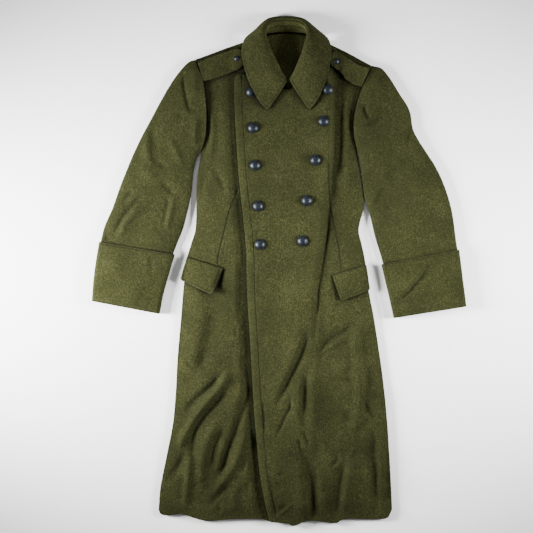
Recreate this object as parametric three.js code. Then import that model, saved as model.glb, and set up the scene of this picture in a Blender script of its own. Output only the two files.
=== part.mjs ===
// Military greatcoat, double-breasted, buttoned and laid flat on its back.
// Millimetres. X runs to the wearer's left, Y from the hem to the collar, Z up.
// The origin lies under the middle of the coat, on the surface that it rests on.
import * as THREE from "three";

// Driving dimensions
const CLOTH = 3.0; // heavy wool melton
const GAP = 0.3; // between pieces, at seams and where layers lie on each other
const SLEEVE_CLEAR = 1.0; // more room where a sleeve lies beside the body
const ARMHOLE_GAP = 0.5; // the armhole is curved, so its two sides part a little more
const CENTRE_X = 17; // middle of the body, beside the origin because the sleeves lie unevenly
const SLEEVE_PUFF = 7.0;
const ROLL_HEIGHT = 9; // the left front's soft roll along its outer row of buttons
const EDGE_LIFT = 3; // how far the left front's closing edge stands off the right front
const FRONT_BUTTON = { across: 24.5, height: 6.2 };
const STRAP_BUTTON = { across: 15, height: 4.6 };

const WOOL = 0x4a4a28;
const WOOL_DARK = 0x3b3a20;
const BUTTON_METAL = 0x3c4248;

// Levels of the layers, from the surface up
const BACK_TOP = CLOTH;
const RIGHT_FRONT_FOOT = BACK_TOP + GAP;
const LEFT_FRONT_FOOT = RIGHT_FRONT_FOOT + CLOTH + GAP;

// The side of the body, from the hem's corner to the underarm
const bodySides = [
  { y: -574, right: -290, left: 271 },
  { y: -522, right: -286, left: 269 },
  { y: -445, right: -271, left: 265 },
  { y: -368, right: -256, left: 260 },
  { y: -291, right: -249, left: 253 },
  { y: -214, right: -245, left: 243 },
  { y: -109, right: -236, left: 227 },
  { y: -48, right: -231, left: 215 },
  { y: 26, right: -223, left: 206 },
  { y: 64, right: -212, left: 198 },
  { y: 98, right: -202, left: 191 },
  { y: 160, right: -199, left: 204 },
  { y: 222, right: -197, left: 197 },
  { y: 290, right: -186, left: 186 },
];

// The armholes, from the underarm to the shoulder's end
const rightArmhole = [
  [-186, 290],
  [-177, 322],
  [-174, 369],
  [-176, 412],
  [-183, 459],
  [-201, 507],
];
const leftArmhole = [
  [186, 290],
  [179, 326],
  [179, 368],
  [186, 402],
  [198, 439],
  [222, 492],
];

// The hem, from the wearer's right side to the left
const hem = [
  { x: -290, y: -574 },
  { x: -286, y: -584 },
  { x: -272, y: -588 },
  { x: -234, y: -585 },
  { x: -205, y: -594 },
  { x: -176, y: -601 },
  { x: -118, y: -597 },
  { x: -42, y: -597 },
  { x: -20, y: -603 },
  { x: 20, y: -607 },
  { x: 33, y: -613 },
  { x: 69, y: -601 },
  { x: 138, y: -606 },
  { x: 152, y: -597 },
  { x: 237, y: -597 },
  { x: 262, y: -592 },
  { x: 271, y: -574 },
];

// Upper edges: shoulder and neck seam of each panel, by x
const backTop = [
  { x: -201, y: 507 },
  { x: -142, y: 529 },
  { x: -92, y: 547 },
  { x: -60, y: 552 },
  { x: -30, y: 564 },
  { x: CENTRE_X, y: 569 },
  { x: 64, y: 564 },
  { x: 94, y: 552 },
  { x: 124, y: 543 },
  { x: 168, y: 522 },
  { x: 222, y: 492 },
];
const rightFrontTop = [
  { x: -201, y: 507 },
  { x: -142, y: 529 },
  { x: -92, y: 546 },
  { x: -63, y: 549 },
  { x: -52, y: 519 },
  { x: -30, y: 480 },
  { x: 0, y: 450 },
  { x: 22, y: 437 },
  { x: 60, y: 443 },
  { x: 118, y: 466 },
];
const leftFrontTop = [
  { x: -108, y: 463 },
  { x: -100, y: 471 },
  { x: -86, y: 473 },
  { x: -30, y: 447 },
  { x: 22, y: 435 },
  { x: 42, y: 449 },
  { x: 66, y: 480 },
  { x: 86, y: 519 },
  { x: 97, y: 549 },
  { x: 124, y: 542 },
  { x: 168, y: 521 },
  { x: 222, y: 492 },
];

// Upright lines on the fronts: the closing edge that shows, the roll beside the outer
// buttons, and the right front's own closing edge, hidden beneath
const frontLines = [
  { y: -603, closing: -24, roll: 84, underlap: 52 },
  { y: -553, closing: -36, roll: 82, underlap: 60 },
  { y: -500, closing: -46, roll: 78, underlap: 66 },
  { y: -445, closing: -52, roll: 72, underlap: 70 },
  { y: -320, closing: -62, roll: 62, underlap: 76 },
  { y: -181, closing: -70, roll: 82, underlap: 84 },
  { y: -46, closing: -78, roll: 95, underlap: 92 },
  { y: 47, closing: -80, roll: 104, underlap: 96 },
  { y: 134, closing: -88, roll: 114, underlap: 100 },
  { y: 218, closing: -97, roll: 126, underlap: 106 },
  { y: 338, closing: -105, roll: 130, underlap: 114 },
  { y: 410, closing: -108, roll: 128, underlap: 117 },
  { y: 473, closing: -108, roll: 120, underlap: 118 },
];

// How far the fronts stand off the back between folds: least on the chest, most in the skirt
const puffs = [
  { y: -603, puff: 5.5 },
  { y: -200, puff: 6.5 },
  { y: 0, puff: 4.6 },
  { y: 250, puff: 4.0 },
  { y: 380, puff: 2.4 },
  { y: 560, puff: 2.4 },
];

// Folds, each along a path. rise is its height, or depth where it is below zero.
// left and right are its half-widths on either side of the path as it is walked.
const leftFrontFolds = [
  { path: [[108, 505], [119, 440], [121, 370], [120, 300], [114, 205]], rise: ROLL_HEIGHT, left: 13, right: 46 },
  { path: [[114, 230], [102, 120], [90, 40], [78, -60], [72, -120]], rise: ROLL_HEIGHT * 0.6, left: 14, right: 46 },
  { path: [[160, 420], [158, 340], [162, 260], [166, 190]], rise: 4, left: 14, right: 14 },
  { path: [[130, 110], [124, 30], [114, -60], [108, -120]], rise: 3, left: 24, right: 14 },
  { path: [[52, -140], [34, -204], [12, -256], [-14, -318]], rise: 4.5, left: 14, right: 18 },
  { path: [[222, -96], [190, -160], [188, -240], [192, -300], [178, -400]], rise: 6.5, left: 14, right: 15 },
  { path: [[76, -225], [80, -310], [96, -392]], rise: 4, left: 26, right: 14 },
  { path: [[44, -250], [38, -352]], rise: 3.5, left: 14, right: 16 },
  { path: [[42, -450], [52, -510], [54, -600]], rise: 6.5, left: 14, right: 22 },
  { path: [[96, -440], [102, -510], [106, -590]], rise: 4, left: 22, right: 15 },
  { path: [[176, -420], [166, -480], [152, -590]], rise: 6, left: 22, right: 14 },
  { path: [[242, -390], [246, -480], [248, -580]], rise: 4.5, left: 14, right: 14 },
];
const rightFrontFolds = [
  { path: [[-162, 400], [-160, 340], [-170, 255]], rise: 3.5, left: 14, right: 14 },
  { path: [[-196, -20], [-192, -110], [-200, -190], [-214, -250]], rise: 4.5, left: 24, right: 26 },
  { path: [[-112, -232], [-150, -288], [-192, -338], [-226, -392], [-246, -440]], rise: 7.5, left: 14, right: 14 },
  { path: [[-84, -262], [-98, -300], [-116, -340]], rise: 4, left: 14, right: 15 },
  { path: [[-74, -372], [-92, -422], [-112, -470], [-162, -540]], rise: 6, left: 14, right: 14 },
  { path: [[-150, -352], [-176, -420], [-188, -480], [-186, -550]], rise: 4.5, left: 14, right: 14 },
  { path: [[-214, -430], [-219, -490], [-229, -580]], rise: 5.5, left: 14, right: 14 },
  { path: [[-96, -500], [-108, -545], [-114, -590]], rise: 3.5, left: 14, right: 14 },
];
const rightSleeveFolds = [
  { path: [[-206, 488], [-202, 440], [-200, 396]], rise: 3, left: 13, right: 13 },
  { path: [[-196, 372], [-204, 320], [-210, 270]], rise: 3.5, left: 12, right: 16 },
  { path: [[-320, 350], [-318, 300], [-306, 258]], rise: 3, left: 14, right: 16 },
  { path: [[-330, 160], [-368, 112], [-388, 76]], rise: 3.5, left: 16, right: 16 },
  { path: [[-250, 190], [-264, 130], [-274, 90]], rise: 3, left: 16, right: 14 },
];
const leftSleeveFolds = [
  { path: [[206, 410], [222, 440], [244, 476]], rise: 3.5, left: 12, right: 12 },
  { path: [[322, 344], [324, 300], [346, 246]], rise: 4.5, left: 14, right: 16 },
  { path: [[225, 340], [240, 260], [266, 170]], rise: 3.5, left: 22, right: 22 },
];
const rightCuffFolds = [{ path: [[-420, 30], [-360, -20], [-330, -80]], rise: 2.5, left: 30, right: 24 }];
const leftCuffFolds = [{ path: [[266, -84], [306, -44], [352, 6]], rise: 4, left: 22, right: 12 }];

// The sleeves' long edges, outer and under, from the armhole to the hem of the cuff
const rightSleeveOuter = [
  [-201, 507],
  [-214, 503],
  [-232, 486],
  [-260, 448],
  [-303, 371],
  [-343, 294],
  [-375, 218],
  [-400, 152],
  [-424, 102],
  [-434, 54],
  [-444, -13],
  [-449, -73],
];
const rightSleeveUnder = [
  [-186, 290],
  [-197, 268],
  [-204, 240],
  [-211, 179],
  [-229, 102],
  [-253, 26],
  [-275, -51],
  [-286, -104],
];
const leftSleeveOuter = [
  [222, 492],
  [243, 487],
  [261, 467],
  [285, 429],
  [312, 384],
  [320, 340],
  [333, 314],
  [381, 237],
  [410, 160],
  [426, 83],
  [439, -13],
  [448, -86],
];
const leftSleeveUnder = [
  [186, 290],
  [197, 222],
  [205, 166],
  [214, 141],
  [232, 64],
  [250, -13],
  [262, -64],
  [273, -114],
];
// The cuff's upper edge, as a share of the sleeve's length, and of each of its long edges
const CUFF_SHARE = 0.745;
const cuffTops = { right: { outer: 0.777, under: 0.638 }, left: { outer: 0.785, under: 0.68 } };
const CUFF_MOUTH = 0.985; // the sleeve ends just inside the cuff's turned edge

// Half of the collar, from its front end round to the centre back.
// neck is the seam on the coat, turn the seam inside the roll, then the fall's outer face
// by its crest, bulge, drop and outer edge. axis is what the other half is mirrored about,
// and raise lifts that half over the roll of the left front.
const collarHalf = [
  { axis: 22, raise: 2.4, neck: [20, 442, 9.8], turn: [19.5, 458, 14], crest: [16, 453, 18], bulge: [4, 432, 20], drop: [-10, 409, 19], edge: [-27, 383, 16] },
  { axis: 21, raise: 3, neck: [3, 455, 9], turn: [9, 474, 21], crest: [3, 469, 26], bulge: [-12, 449, 27], drop: [-27, 426, 24], edge: [-44, 400, 21] },
  { axis: 20, raise: 4, neck: [-16, 472, 10], turn: [-4, 498, 27], crest: [-11, 492, 33], bulge: [-29, 475, 33], drop: [-46, 456, 28], edge: [-64, 433, 23] },
  { axis: 19, raise: 3, neck: [-33, 494, 11], turn: [-15, 520, 31], crest: [-23, 514, 37], bulge: [-42, 500, 35], drop: [-60, 484, 29], edge: [-78, 465, 23] },
  { axis: 17.5, raise: 2, neck: [-47, 520, 13], turn: [-24, 541, 33], crest: [-33, 537, 39], bulge: [-52, 527, 36], drop: [-71, 514, 29], edge: [-88, 500, 22] },
  { axis: 17, raise: 1, neck: [-57, 545, 15], turn: [-30, 560, 33], crest: [-39, 558, 38], bulge: [-57, 553, 34], drop: [-75, 545, 27], edge: [-91, 535, 20] },
  { axis: 17, raise: 0, neck: [-50, 562, 14], turn: [-30, 574, 29], crest: [-38, 574, 34], bulge: [-54, 573, 28], drop: [-68, 569, 20], edge: [-80, 562, 12] },
  { axis: 16.5, raise: 0, neck: [-34, 568, 11], turn: [-26, 586, 23], crest: [-33, 590, 26], bulge: [-45, 590, 17], drop: [-52, 583, 5], edge: [-62, 564, 0] },
  { axis: 16, raise: 0, neck: [-12, 571.5, 9], turn: [-14, 596, 18], crest: [-18, 603, 20], bulge: [-26, 606, 10], drop: [-28, 596, 0], edge: [-38, 548, 0] },
  { axis: 15.5, raise: 0, neck: [15.5, 572.5, 8], turn: [15.5, 598, 16], crest: [15.5, 606, 18], bulge: [15.5, 611.5, 9], drop: [15.5, 600, 0], edge: [15.5, 542, 0] },
];

// Shoulder straps, in sections across the strap from the armhole to the collar
const rightStrap = [
  { end: [-196, 499], side: [-182, 455] },
  { end: [-175, 508], side: [-165, 458] },
  { end: [-150, 517], side: [-140, 466] },
  { end: [-124, 526], side: [-115, 476] },
  { end: [-100, 533], side: [-94, 485] },
  { end: [-86, 528], side: [-83, 497] },
];
const leftStrap = [
  { end: [218, 486], side: [198, 441] },
  { end: [192, 493], side: [180, 446] },
  { end: [172, 505], side: [160, 459] },
  { end: [152, 518], side: [147, 476] },
  { end: [134, 526], side: [133, 485] },
  { end: [121, 520], side: [121, 494] },
];

// Pocket flaps: corners, from the seam's outer end round to the free outer corner
const rightFlap = { seamOuter: [-222, 33], seamInner: [-135, 6], freeInner: [-161, -58], freeOuter: [-238, -22], innerLift: 5 };
const leftFlap = { seamOuter: [209, 14], seamInner: [127, -11], freeInner: [148, -73], freeOuter: [218, -47], innerLift: 1.5 };

const buttons = [
  { name: "button_inner_1", x: -67, y: 429 },
  { name: "button_inner_2", x: -63, y: 343 },
  { name: "button_inner_3", x: -58, y: 253 },
  { name: "button_inner_4", x: -51, y: 155 },
  { name: "button_inner_5", x: -46, y: 63 },
  { name: "button_outer_1", x: 116, y: 434 },
  { name: "button_outer_2", x: 106, y: 358 },
  { name: "button_outer_3", x: 87, y: 265 },
  { name: "button_outer_4", x: 66, y: 168 },
  { name: "button_outer_5", x: 56, y: 71 },
];

// A smooth function through the rows of a table, by one column of another
function through(rows, from, to) {
  const n = rows.length;
  const slope = (i) => {
    const a = rows[Math.max(0, i - 1)];
    const b = rows[Math.min(n - 1, i + 1)];
    return (b[to] - a[to]) / (b[from] - a[from]);
  };
  return (at) => {
    let i = 0;
    while (i < n - 2 && at > rows[i + 1][from]) i += 1;
    const [a, b] = [rows[i], rows[i + 1]];
    const span = b[from] - a[from];
    const t = THREE.MathUtils.clamp((at - a[from]) / span, 0, 1);
    const [t2, t3] = [t * t, t * t * t];
    return (
      (2 * t3 - 3 * t2 + 1) * a[to] +
      (t3 - 2 * t2 + t) * span * slope(i) +
      (3 * t2 - 2 * t3) * b[to] +
      (t3 - t2) * span * slope(i + 1)
    );
  };
}

// A smooth curve through a list of points, by its share of the length
function curveThrough(points) {
  const curve = new THREE.CatmullRomCurve3(
    points.map(([x, y, z = 0]) => new THREE.Vector3(x, y, z)),
    false,
    "centripetal",
  );
  return (share) => curve.getPointAt(THREE.MathUtils.clamp(share, 0, 1));
}

const mix = THREE.MathUtils.lerp;
const ease = THREE.MathUtils.smoothstep;
const shares = (count) => Array.from({ length: count + 1 }, (_, i) => i / count);

// Height that the folds add at a point: the sum of soft ridges along their paths
function foldHeight(folds, x, y) {
  let sum = 0;
  for (const { path, rise, left, right } of folds) {
    let best = { d2: Infinity };
    let walked = 0;
    for (let i = 0; i + 1 < path.length; i += 1) {
      const [ax, ay] = path[i];
      const [ux, uy] = [path[i + 1][0] - ax, path[i + 1][1] - ay];
      const length = Math.hypot(ux, uy);
      const t = THREE.MathUtils.clamp(((x - ax) * ux + (y - ay) * uy) / length ** 2, 0, 1);
      const [dx, dy] = [x - ax - t * ux, y - ay - t * uy];
      const d2 = dx * dx + dy * dy;
      if (d2 < best.d2) best = { d2, side: ux * dy - uy * dx, at: walked + t * length };
      walked += length;
    }
    const width = best.side > 0 ? left : right;
    const fade = ease(best.at, 0, walked * 0.3) * ease(walked - best.at, 0, walked * 0.3);
    sum += rise * fade * Math.exp(-best.d2 / width ** 2);
  }
  return sum;
}

const hemAt = through(hem, "x", "y");
const sideX = { right: through(bodySides, "y", "right"), left: through(bodySides, "y", "left") };
const lineX = {};
for (const line of ["closing", "roll", "underlap"]) lineX[line] = through(frontLines, "y", line);
const armholeAt = { right: curveThrough(rightArmhole), left: curveThrough(leftArmhole) };

// The back of the collar lies under the neck, and lifts everything above it.
// The fronts start to rise a little before the back does, so that they stay clear of it.
function neckLift(x, y, early) {
  const across = 1 - ease(Math.abs(x - CENTRE_X), 84 + early, 122 + early);
  return (CLOTH + GAP) * across * ease(y, 492 - early, 530 - early);
}
const FRONT_EARLY = 14;

// The outline of one side of the body at a share of its height: side, then armhole
const HEM_CORNER_Y = bodySides[0].y;
const UNDERARM_Y = bodySides.at(-1).y;
const SIDE_SHARE = 0.79; // the rest of the height is the armhole
const ARMHOLE_STEPS = [0, 0.11, 0.22, 0.34, 0.46, 0.58, 0.7, 0.82, 0.92, 1]; // shared with the sleeves
const bodyRows = (below) => [
  ...shares(below).map((s) => s * SIDE_SHARE),
  ...ARMHOLE_STEPS.slice(1).map((s) => mix(SIDE_SHARE, 1, s)),
];
function bodyEdge(which, share) {
  if (share <= SIDE_SHARE) {
    const y = mix(HEM_CORNER_Y, UNDERARM_Y, share / SIDE_SHARE);
    return [sideX[which](y), y];
  }
  const p = armholeAt[which]((share - SIDE_SHARE) / (1 - SIDE_SHARE));
  return [p.x, p.y];
}

// A point of a panel between two upright edges, with its rows bent to the hem and the top
function panelPoint(edgeA, edgeB, topAt, xAt, u, v) {
  const straight = (w) => {
    const [a, b] = [edgeA(w), edgeB(w)];
    const y = mix(a[1], b[1], u);
    return [xAt(u, y, a, b), y];
  };
  const bend = (w, lineAt) => {
    const [x, y] = straight(w);
    return lineAt(x) - y;
  };
  const [x, y] = straight(v);
  return [x, y + (1 - v) ** 3 * bend(0, hemAt) + v ** 4 * bend(1, topAt)];
}

// A closed body from a grid of outer points and a grid of inner points, joined at the rim
function wall(outer, inner) {
  const [rows, columns] = [outer.length, outer[0].length];
  const position = [...outer.flat(), ...inner.flat()].flat();
  const index = [];
  const at = (layer, i, j) => layer * rows * columns + i * columns + j;
  const quad = (a, b, c, d) => index.push(a, b, c, a, c, d);
  for (let i = 0; i + 1 < rows; i += 1) {
    for (let j = 0; j + 1 < columns; j += 1) {
      quad(at(0, i, j), at(0, i, j + 1), at(0, i + 1, j + 1), at(0, i + 1, j));
      quad(at(1, i, j), at(1, i + 1, j), at(1, i + 1, j + 1), at(1, i, j + 1));
    }
  }
  const [lastRow, lastColumn] = [rows - 1, columns - 1];
  for (let j = 0; j < lastColumn; j += 1) {
    quad(at(0, 0, j), at(1, 0, j), at(1, 0, j + 1), at(0, 0, j + 1));
    quad(at(0, lastRow, j), at(0, lastRow, j + 1), at(1, lastRow, j + 1), at(1, lastRow, j));
  }
  for (let i = 0; i < lastRow; i += 1) {
    quad(at(0, i, 0), at(0, i + 1, 0), at(1, i + 1, 0), at(1, i, 0));
    quad(at(0, i, lastColumn), at(1, i, lastColumn), at(1, i + 1, lastColumn), at(0, i + 1, lastColumn));
  }
  return solid(position, index);
}

// A closed body from rings of outer points and rings of inner points, open at both ends
function tube(outer, inner) {
  const [rows, around] = [outer.length, outer[0].length];
  const position = [...outer.flat(), ...inner.flat()].flat();
  const index = [];
  const at = (layer, i, j) => layer * rows * around + i * around + (j % around);
  const quad = (a, b, c, d) => index.push(a, b, c, a, c, d);
  for (let i = 0; i + 1 < rows; i += 1) {
    for (let j = 0; j < around; j += 1) {
      quad(at(0, i, j), at(0, i, j + 1), at(0, i + 1, j + 1), at(0, i + 1, j));
      quad(at(1, i, j), at(1, i + 1, j), at(1, i + 1, j + 1), at(1, i, j + 1));
    }
  }
  for (let j = 0; j < around; j += 1) {
    quad(at(0, 0, j), at(1, 0, j), at(1, 0, j + 1), at(0, 0, j + 1));
    quad(at(0, rows - 1, j), at(0, rows - 1, j + 1), at(1, rows - 1, j + 1), at(1, rows - 1, j));
  }
  return solid(position, index);
}

// A BufferGeometry with its faces turned outwards, whichever way its grids ran
function solid(position, index) {
  let volume = 0;
  const corner = (i) => new THREE.Vector3().fromArray(position, 3 * index[i]);
  for (let i = 0; i < index.length; i += 3) {
    volume += corner(i).dot(corner(i + 1).cross(corner(i + 2)));
  }
  if (volume < 0) index.reverse();
  const geometry = new THREE.BufferGeometry();
  geometry.setAttribute("position", new THREE.Float32BufferAttribute(position, 3));
  geometry.setIndex(index);
  geometry.computeVertexNormals();
  return geometry;
}

const coat = new THREE.Group();
coat.name = "greatcoat";

function addMesh(name, geometry, colour, roughness, metalness) {
  const material = new THREE.MeshStandardMaterial({ color: colour, roughness, metalness });
  const mesh = new THREE.Mesh(geometry, material);
  mesh.name = name;
  coat.add(mesh);
}
const addCloth = (name, geometry, colour = WOOL) => addMesh(name, geometry, colour, 0.95, 0);

// A panel as a wall of even thickness under its top surface
function addPanel(name, us, vs, pointAt, topAt) {
  const grid = vs.map((v) => us.map((u) => pointAt(u, v)));
  const outer = grid.map((row) => row.map(([x, y]) => [x, y, topAt(x, y)]));
  const inner = outer.map((row) => row.map(([x, y, z]) => [x, y, z - CLOTH]));
  addCloth(name, wall(outer, inner));
}

// Back, flat on the surface
const rightEdge = (v) => bodyEdge("right", v);
const leftEdge = (v) => bodyEdge("left", v);
const straightAcross = (u, y, a, b) => mix(a[0], b[0], u);
const backTopAt = through(backTop, "x", "y");
addPanel(
  "back",
  shares(16),
  bodyRows(15),
  (u, v) => panelPoint(rightEdge, leftEdge, backTopAt, straightAcross, u, v),
  (x, y) => BACK_TOP + neckLift(x, y, 0),
);

// How far a point is from the body's side, so that the fronts meet the back at its edge
function insideSide(which, x, y) {
  const edge = y < UNDERARM_Y ? sideX[which](y) : which === "right" ? -178 : 184;
  return Math.abs(x - edge);
}
const puffAt = through(puffs, "y", "puff");
const puff = (which, x, y) => puffAt(y) * (1 - Math.exp(-insideSide(which, x, y) / 26));

// Right front, which lies under the left one from the closing edge on
function rightFrontSurface(x, y) {
  const shows = 1 - ease(x, lineX.closing(y) - 30, lineX.closing(y) - 5);
  const form = puff("right", x, y) + foldHeight(rightFrontFolds, x, y);
  return RIGHT_FRONT_FOOT + CLOTH + neckLift(x, y, FRONT_EARLY) + shows * Math.max(0, form);
}
const FRONT_SHOWS = 0.62; // share of the right front's columns that show
const rightFrontTopAt = through(rightFrontTop, "x", "y");
const underlapEdge = (v) => {
  const y = mix(-603, 466, v);
  return [lineX.underlap(y), y];
};
function rightFrontX(u, y, a, b) {
  const closing = lineX.closing(y);
  if (u <= FRONT_SHOWS) return mix(a[0], closing, u / FRONT_SHOWS);
  return mix(closing, b[0], (u - FRONT_SHOWS) / (1 - FRONT_SHOWS));
}
addPanel(
  "front_right",
  [...shares(14).map((s) => s * FRONT_SHOWS), 0.72, 0.81, 0.9, 1],
  bodyRows(34),
  (u, v) => panelPoint(rightEdge, underlapEdge, rightFrontTopAt, rightFrontX, u, v),
  rightFrontSurface,
);

// Left front, which laps over the right one and comes down beyond that one's edge
function leftFrontSurface(x, y) {
  const fromEdge = Math.max(0, x - lineX.closing(y));
  const beyond = x - lineX.underlap(y);
  const foot = mix(LEFT_FRONT_FOOT, RIGHT_FRONT_FOOT, ease(beyond, 4, 36));
  const lift = EDGE_LIFT * Math.exp(-((fromEdge / 20) ** 2));
  const form =
    lift + puff("left", x, y) * (1 - Math.exp(-fromEdge / 14)) + foldHeight(leftFrontFolds, x, y);
  return foot + CLOTH + neckLift(x, y, FRONT_EARLY) + Math.max(0, form);
}
const ROLL_SHARE = 0.55; // share of the left front's columns between closing edge and roll
const ROLL_FOOT = 0.03;
const leftFrontTopAt = through(leftFrontTop, "x", "y");
const closingEdge = (v) => {
  const y = mix(-603, 463, v);
  return [lineX.closing(y), y];
};
function leftFrontX(u, y, a, b) {
  const roll = Math.min(lineX.roll(y), b[0] - 40);
  if (u <= ROLL_SHARE) return mix(a[0], roll, u / ROLL_SHARE);
  return mix(roll, b[0], (u - ROLL_SHARE) / (1 - ROLL_SHARE));
}
addPanel(
  "front_left",
  [
    ...shares(10).map((s) => s * (ROLL_SHARE - ROLL_FOOT)),
    ROLL_SHARE,
    ROLL_SHARE + ROLL_FOOT,
    ROLL_SHARE + 2 * ROLL_FOOT,
    0.67,
    0.73,
    0.79,
    0.85,
    0.91,
    0.96,
    1,
  ],
  bodyRows(36),
  (u, v) => panelPoint(closingEdge, leftEdge, leftFrontTopAt, leftFrontX, u, v),
  leftFrontSurface,
);

// A point on a sleeve: u from its outer edge to its under edge, v from armhole to mouth
function sleevePlan(which, outerAt, underAt, away) {
  const armhole = armholeAt[which];
  const shareOf = (top) => through([{ v: 0, s: 0 }, { v: CUFF_SHARE, s: top }, { v: 1, s: 1 }], "v", "s");
  const [outerShare, underShare] = [shareOf(cuffTops[which].outer), shareOf(cuffTops[which].under)];
  return (u, v) => {
    const [outer, under] = [outerAt(outerShare(v)), underAt(underShare(v))];
    const seam = armhole(1 - u);
    const straight = outerAt(0).clone().lerp(underAt(0), u);
    const bow = (1 - v) ** 3;
    const clear = ARMHOLE_GAP + SLEEVE_CLEAR * ease(v, 0, 0.04);
    const x = mix(outer.x, under.x, u) + bow * (seam.x - straight.x) + away * clear;
    const y = mix(outer.y, under.y, u) + bow * (seam.y - straight.y);
    return [x, y];
  };
}

// Rings of a flattened tube: rounded sides, a flat underside, and folds on its upper side
const UPPER_SHARES = [0, 0.006, 0.022, ...ARMHOLE_STEPS.slice(1, -1).map((s) => 1 - s).reverse(), 0.978, 0.994, 1];
const LOWER_SHARES = [0.985, 0.7, 0.35, 0.015];
function flatRing(plan, v, { inset, foot, height, side }, folds) {
  const [a, b] = [plan(0, v), plan(1, v)];
  const width = Math.hypot(a[0] - b[0], a[1] - b[1]);
  const trim = inset / width;
  const point = (share, upper) => {
    const u = mix(trim, 1 - trim, share);
    const [x, y] = plan(u, v);
    const fromSide = Math.min(share, 1 - share) * width;
    const round = Math.sqrt(Math.max(0, 1 - (1 - Math.min(1, fromSide / side)) ** 2));
    const crown = (height - 2 * side) * (1 - Math.exp(-fromSide / 30));
    const form = upper ? crown + Math.min(1, fromSide / 24) * foldHeight(folds, x, y) : 0;
    return [x, y, foot + side + (upper ? side * round + form : -side * round)];
  };
  return [
    ...UPPER_SHARES.map((share) => point(share, true)),
    ...LOWER_SHARES.map((share) => point(share, false)),
  ];
}

// One sleeve and its turned-back cuff
const SLEEVE_SIDE = CLOTH + 1.4; // half the height of a sleeve at its rounded edge
const SLEEVE_ROWS = [0, 0.04, 0.1, 0.17, 0.24, 0.31, 0.38, 0.45, 0.52, 0.59, 0.66, 0.71, 0.735, 0.8, 0.86, 0.93, CUFF_MOUTH];
const CUFF_ROWS = [CUFF_SHARE, 0.8, 0.86, 0.93, 1];
const CUFF_EASE = 1.0; // the sleeve is this much narrower than the inside of its cuff
const SLEEVE_PRESSED = 2.5; // how much flatter the sleeve lies inside its cuff
const LAYER = CLOTH + GAP;
const outside = (form) => form;
const inside = ({ inset, foot, height, side }) => ({
  inset: inset + CLOTH,
  foot: foot + CLOTH,
  height: height - 2 * CLOTH,
  side: side - CLOTH,
});
function addSleeve(which, outerLine, underLine, folds, cuffFolds, away) {
  const plan = sleevePlan(which, curveThrough(outerLine), curveThrough(underLine), away);
  const inCuff = (v) => ease(v, CUFF_SHARE - 0.035, CUFF_SHARE - 0.008);
  const height = 2 * SLEEVE_SIDE + SLEEVE_PUFF;
  const narrow = (v) => inCuff(v) * (LAYER + CUFF_EASE);
  const rise = (v) => inCuff(v) * LAYER;
  const full = (v) => height - inCuff(v) * SLEEVE_PRESSED;
  const sleeveForm = (v) => ({ inset: narrow(v), foot: rise(v), height: full(v), side: SLEEVE_SIDE });
  const sleeveFolds = (v) => folds.map((fold) => ({ ...fold, rise: fold.rise * (1 - inCuff(v)) }));
  const sleeveRing = (within) => (v) => flatRing(plan, v, within(sleeveForm(v)), sleeveFolds(v));
  addCloth("sleeve_" + which, tube(SLEEVE_ROWS.map(sleeveRing(outside)), SLEEVE_ROWS.map(sleeveRing(inside))));

  const cuffForm = { inset: 0, foot: 0, height: full(1) + 2 * LAYER, side: SLEEVE_SIDE + LAYER };
  const cuffRing = (within) => (v) => flatRing(plan, v, within(cuffForm), cuffFolds);
  addCloth("cuff_" + which, tube(CUFF_ROWS.map(cuffRing(outside)), CUFF_ROWS.map(cuffRing(inside))));
}
addSleeve("right", rightSleeveOuter, rightSleeveUnder, rightSleeveFolds, rightCuffFolds, -1);
addSleeve("left", leftSleeveOuter, leftSleeveUnder, leftSleeveFolds, leftCuffFolds, 1);

// Collar: a stand from the neck seam to the seam inside the roll, and the fall over it
const mirrored = ({ axis, raise, ...points }) =>
  Object.fromEntries(
    Object.entries(points).map(([key, [x, y, z]]) => [key, [2 * axis - x, y, z + raise]]),
  );
const collarRows = [...collarHalf, ...collarHalf.slice(0, -1).reverse().map(mirrored)];
const COLLAR_STEPS = 36;
const STAND_ENDS = 0.075; // share of the collar's length left without a stand at each front end
const STAND_SHORT = CLOTH + 8 * GAP; // the stand ends under the fall, at the seam inside the roll
function collarGrid(keys, across, short, ends) {
  const rails = keys.map((key) => curveThrough(collarRows.map((row) => row[key])));
  return shares(COLLAR_STEPS).map((step) => {
    const s = mix(ends, 1 - ends, step);
    const section = new THREE.CatmullRomCurve3(rails.map((rail) => rail(s)));
    const reach = 1 - short / section.getLength();
    return shares(across).map((t) => {
      const p = section.getPoint(t * reach);
      return p.setZ(Math.max(0, p.z));
    });
  });
}

// The wall on one side of a grid of points, thick along the grid's own normals
function thicken(points, thickness) {
  const [rows, columns] = [points.length, points[0].length];
  const inner = points.map((row, i) =>
    row.map((p, j) => {
      const along = points[Math.min(rows - 1, i + 1)][j].clone().sub(points[Math.max(0, i - 1)][j]);
      const across = row[Math.min(columns - 1, j + 1)].clone().sub(row[Math.max(0, j - 1)]);
      return p.clone().addScaledVector(along.cross(across).normalize(), -thickness).toArray();
    }),
  );
  return wall(points.map((row) => row.map((p) => p.toArray())), inner);
}
addCloth("collar_stand", thicken(collarGrid(["neck", "turn"], 2, STAND_SHORT, STAND_ENDS), CLOTH), WOOL_DARK);
addCloth("collar_fall", thicken(collarGrid(["turn", "crest", "bulge", "drop", "edge"], 8, 0, 0), CLOTH));

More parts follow.
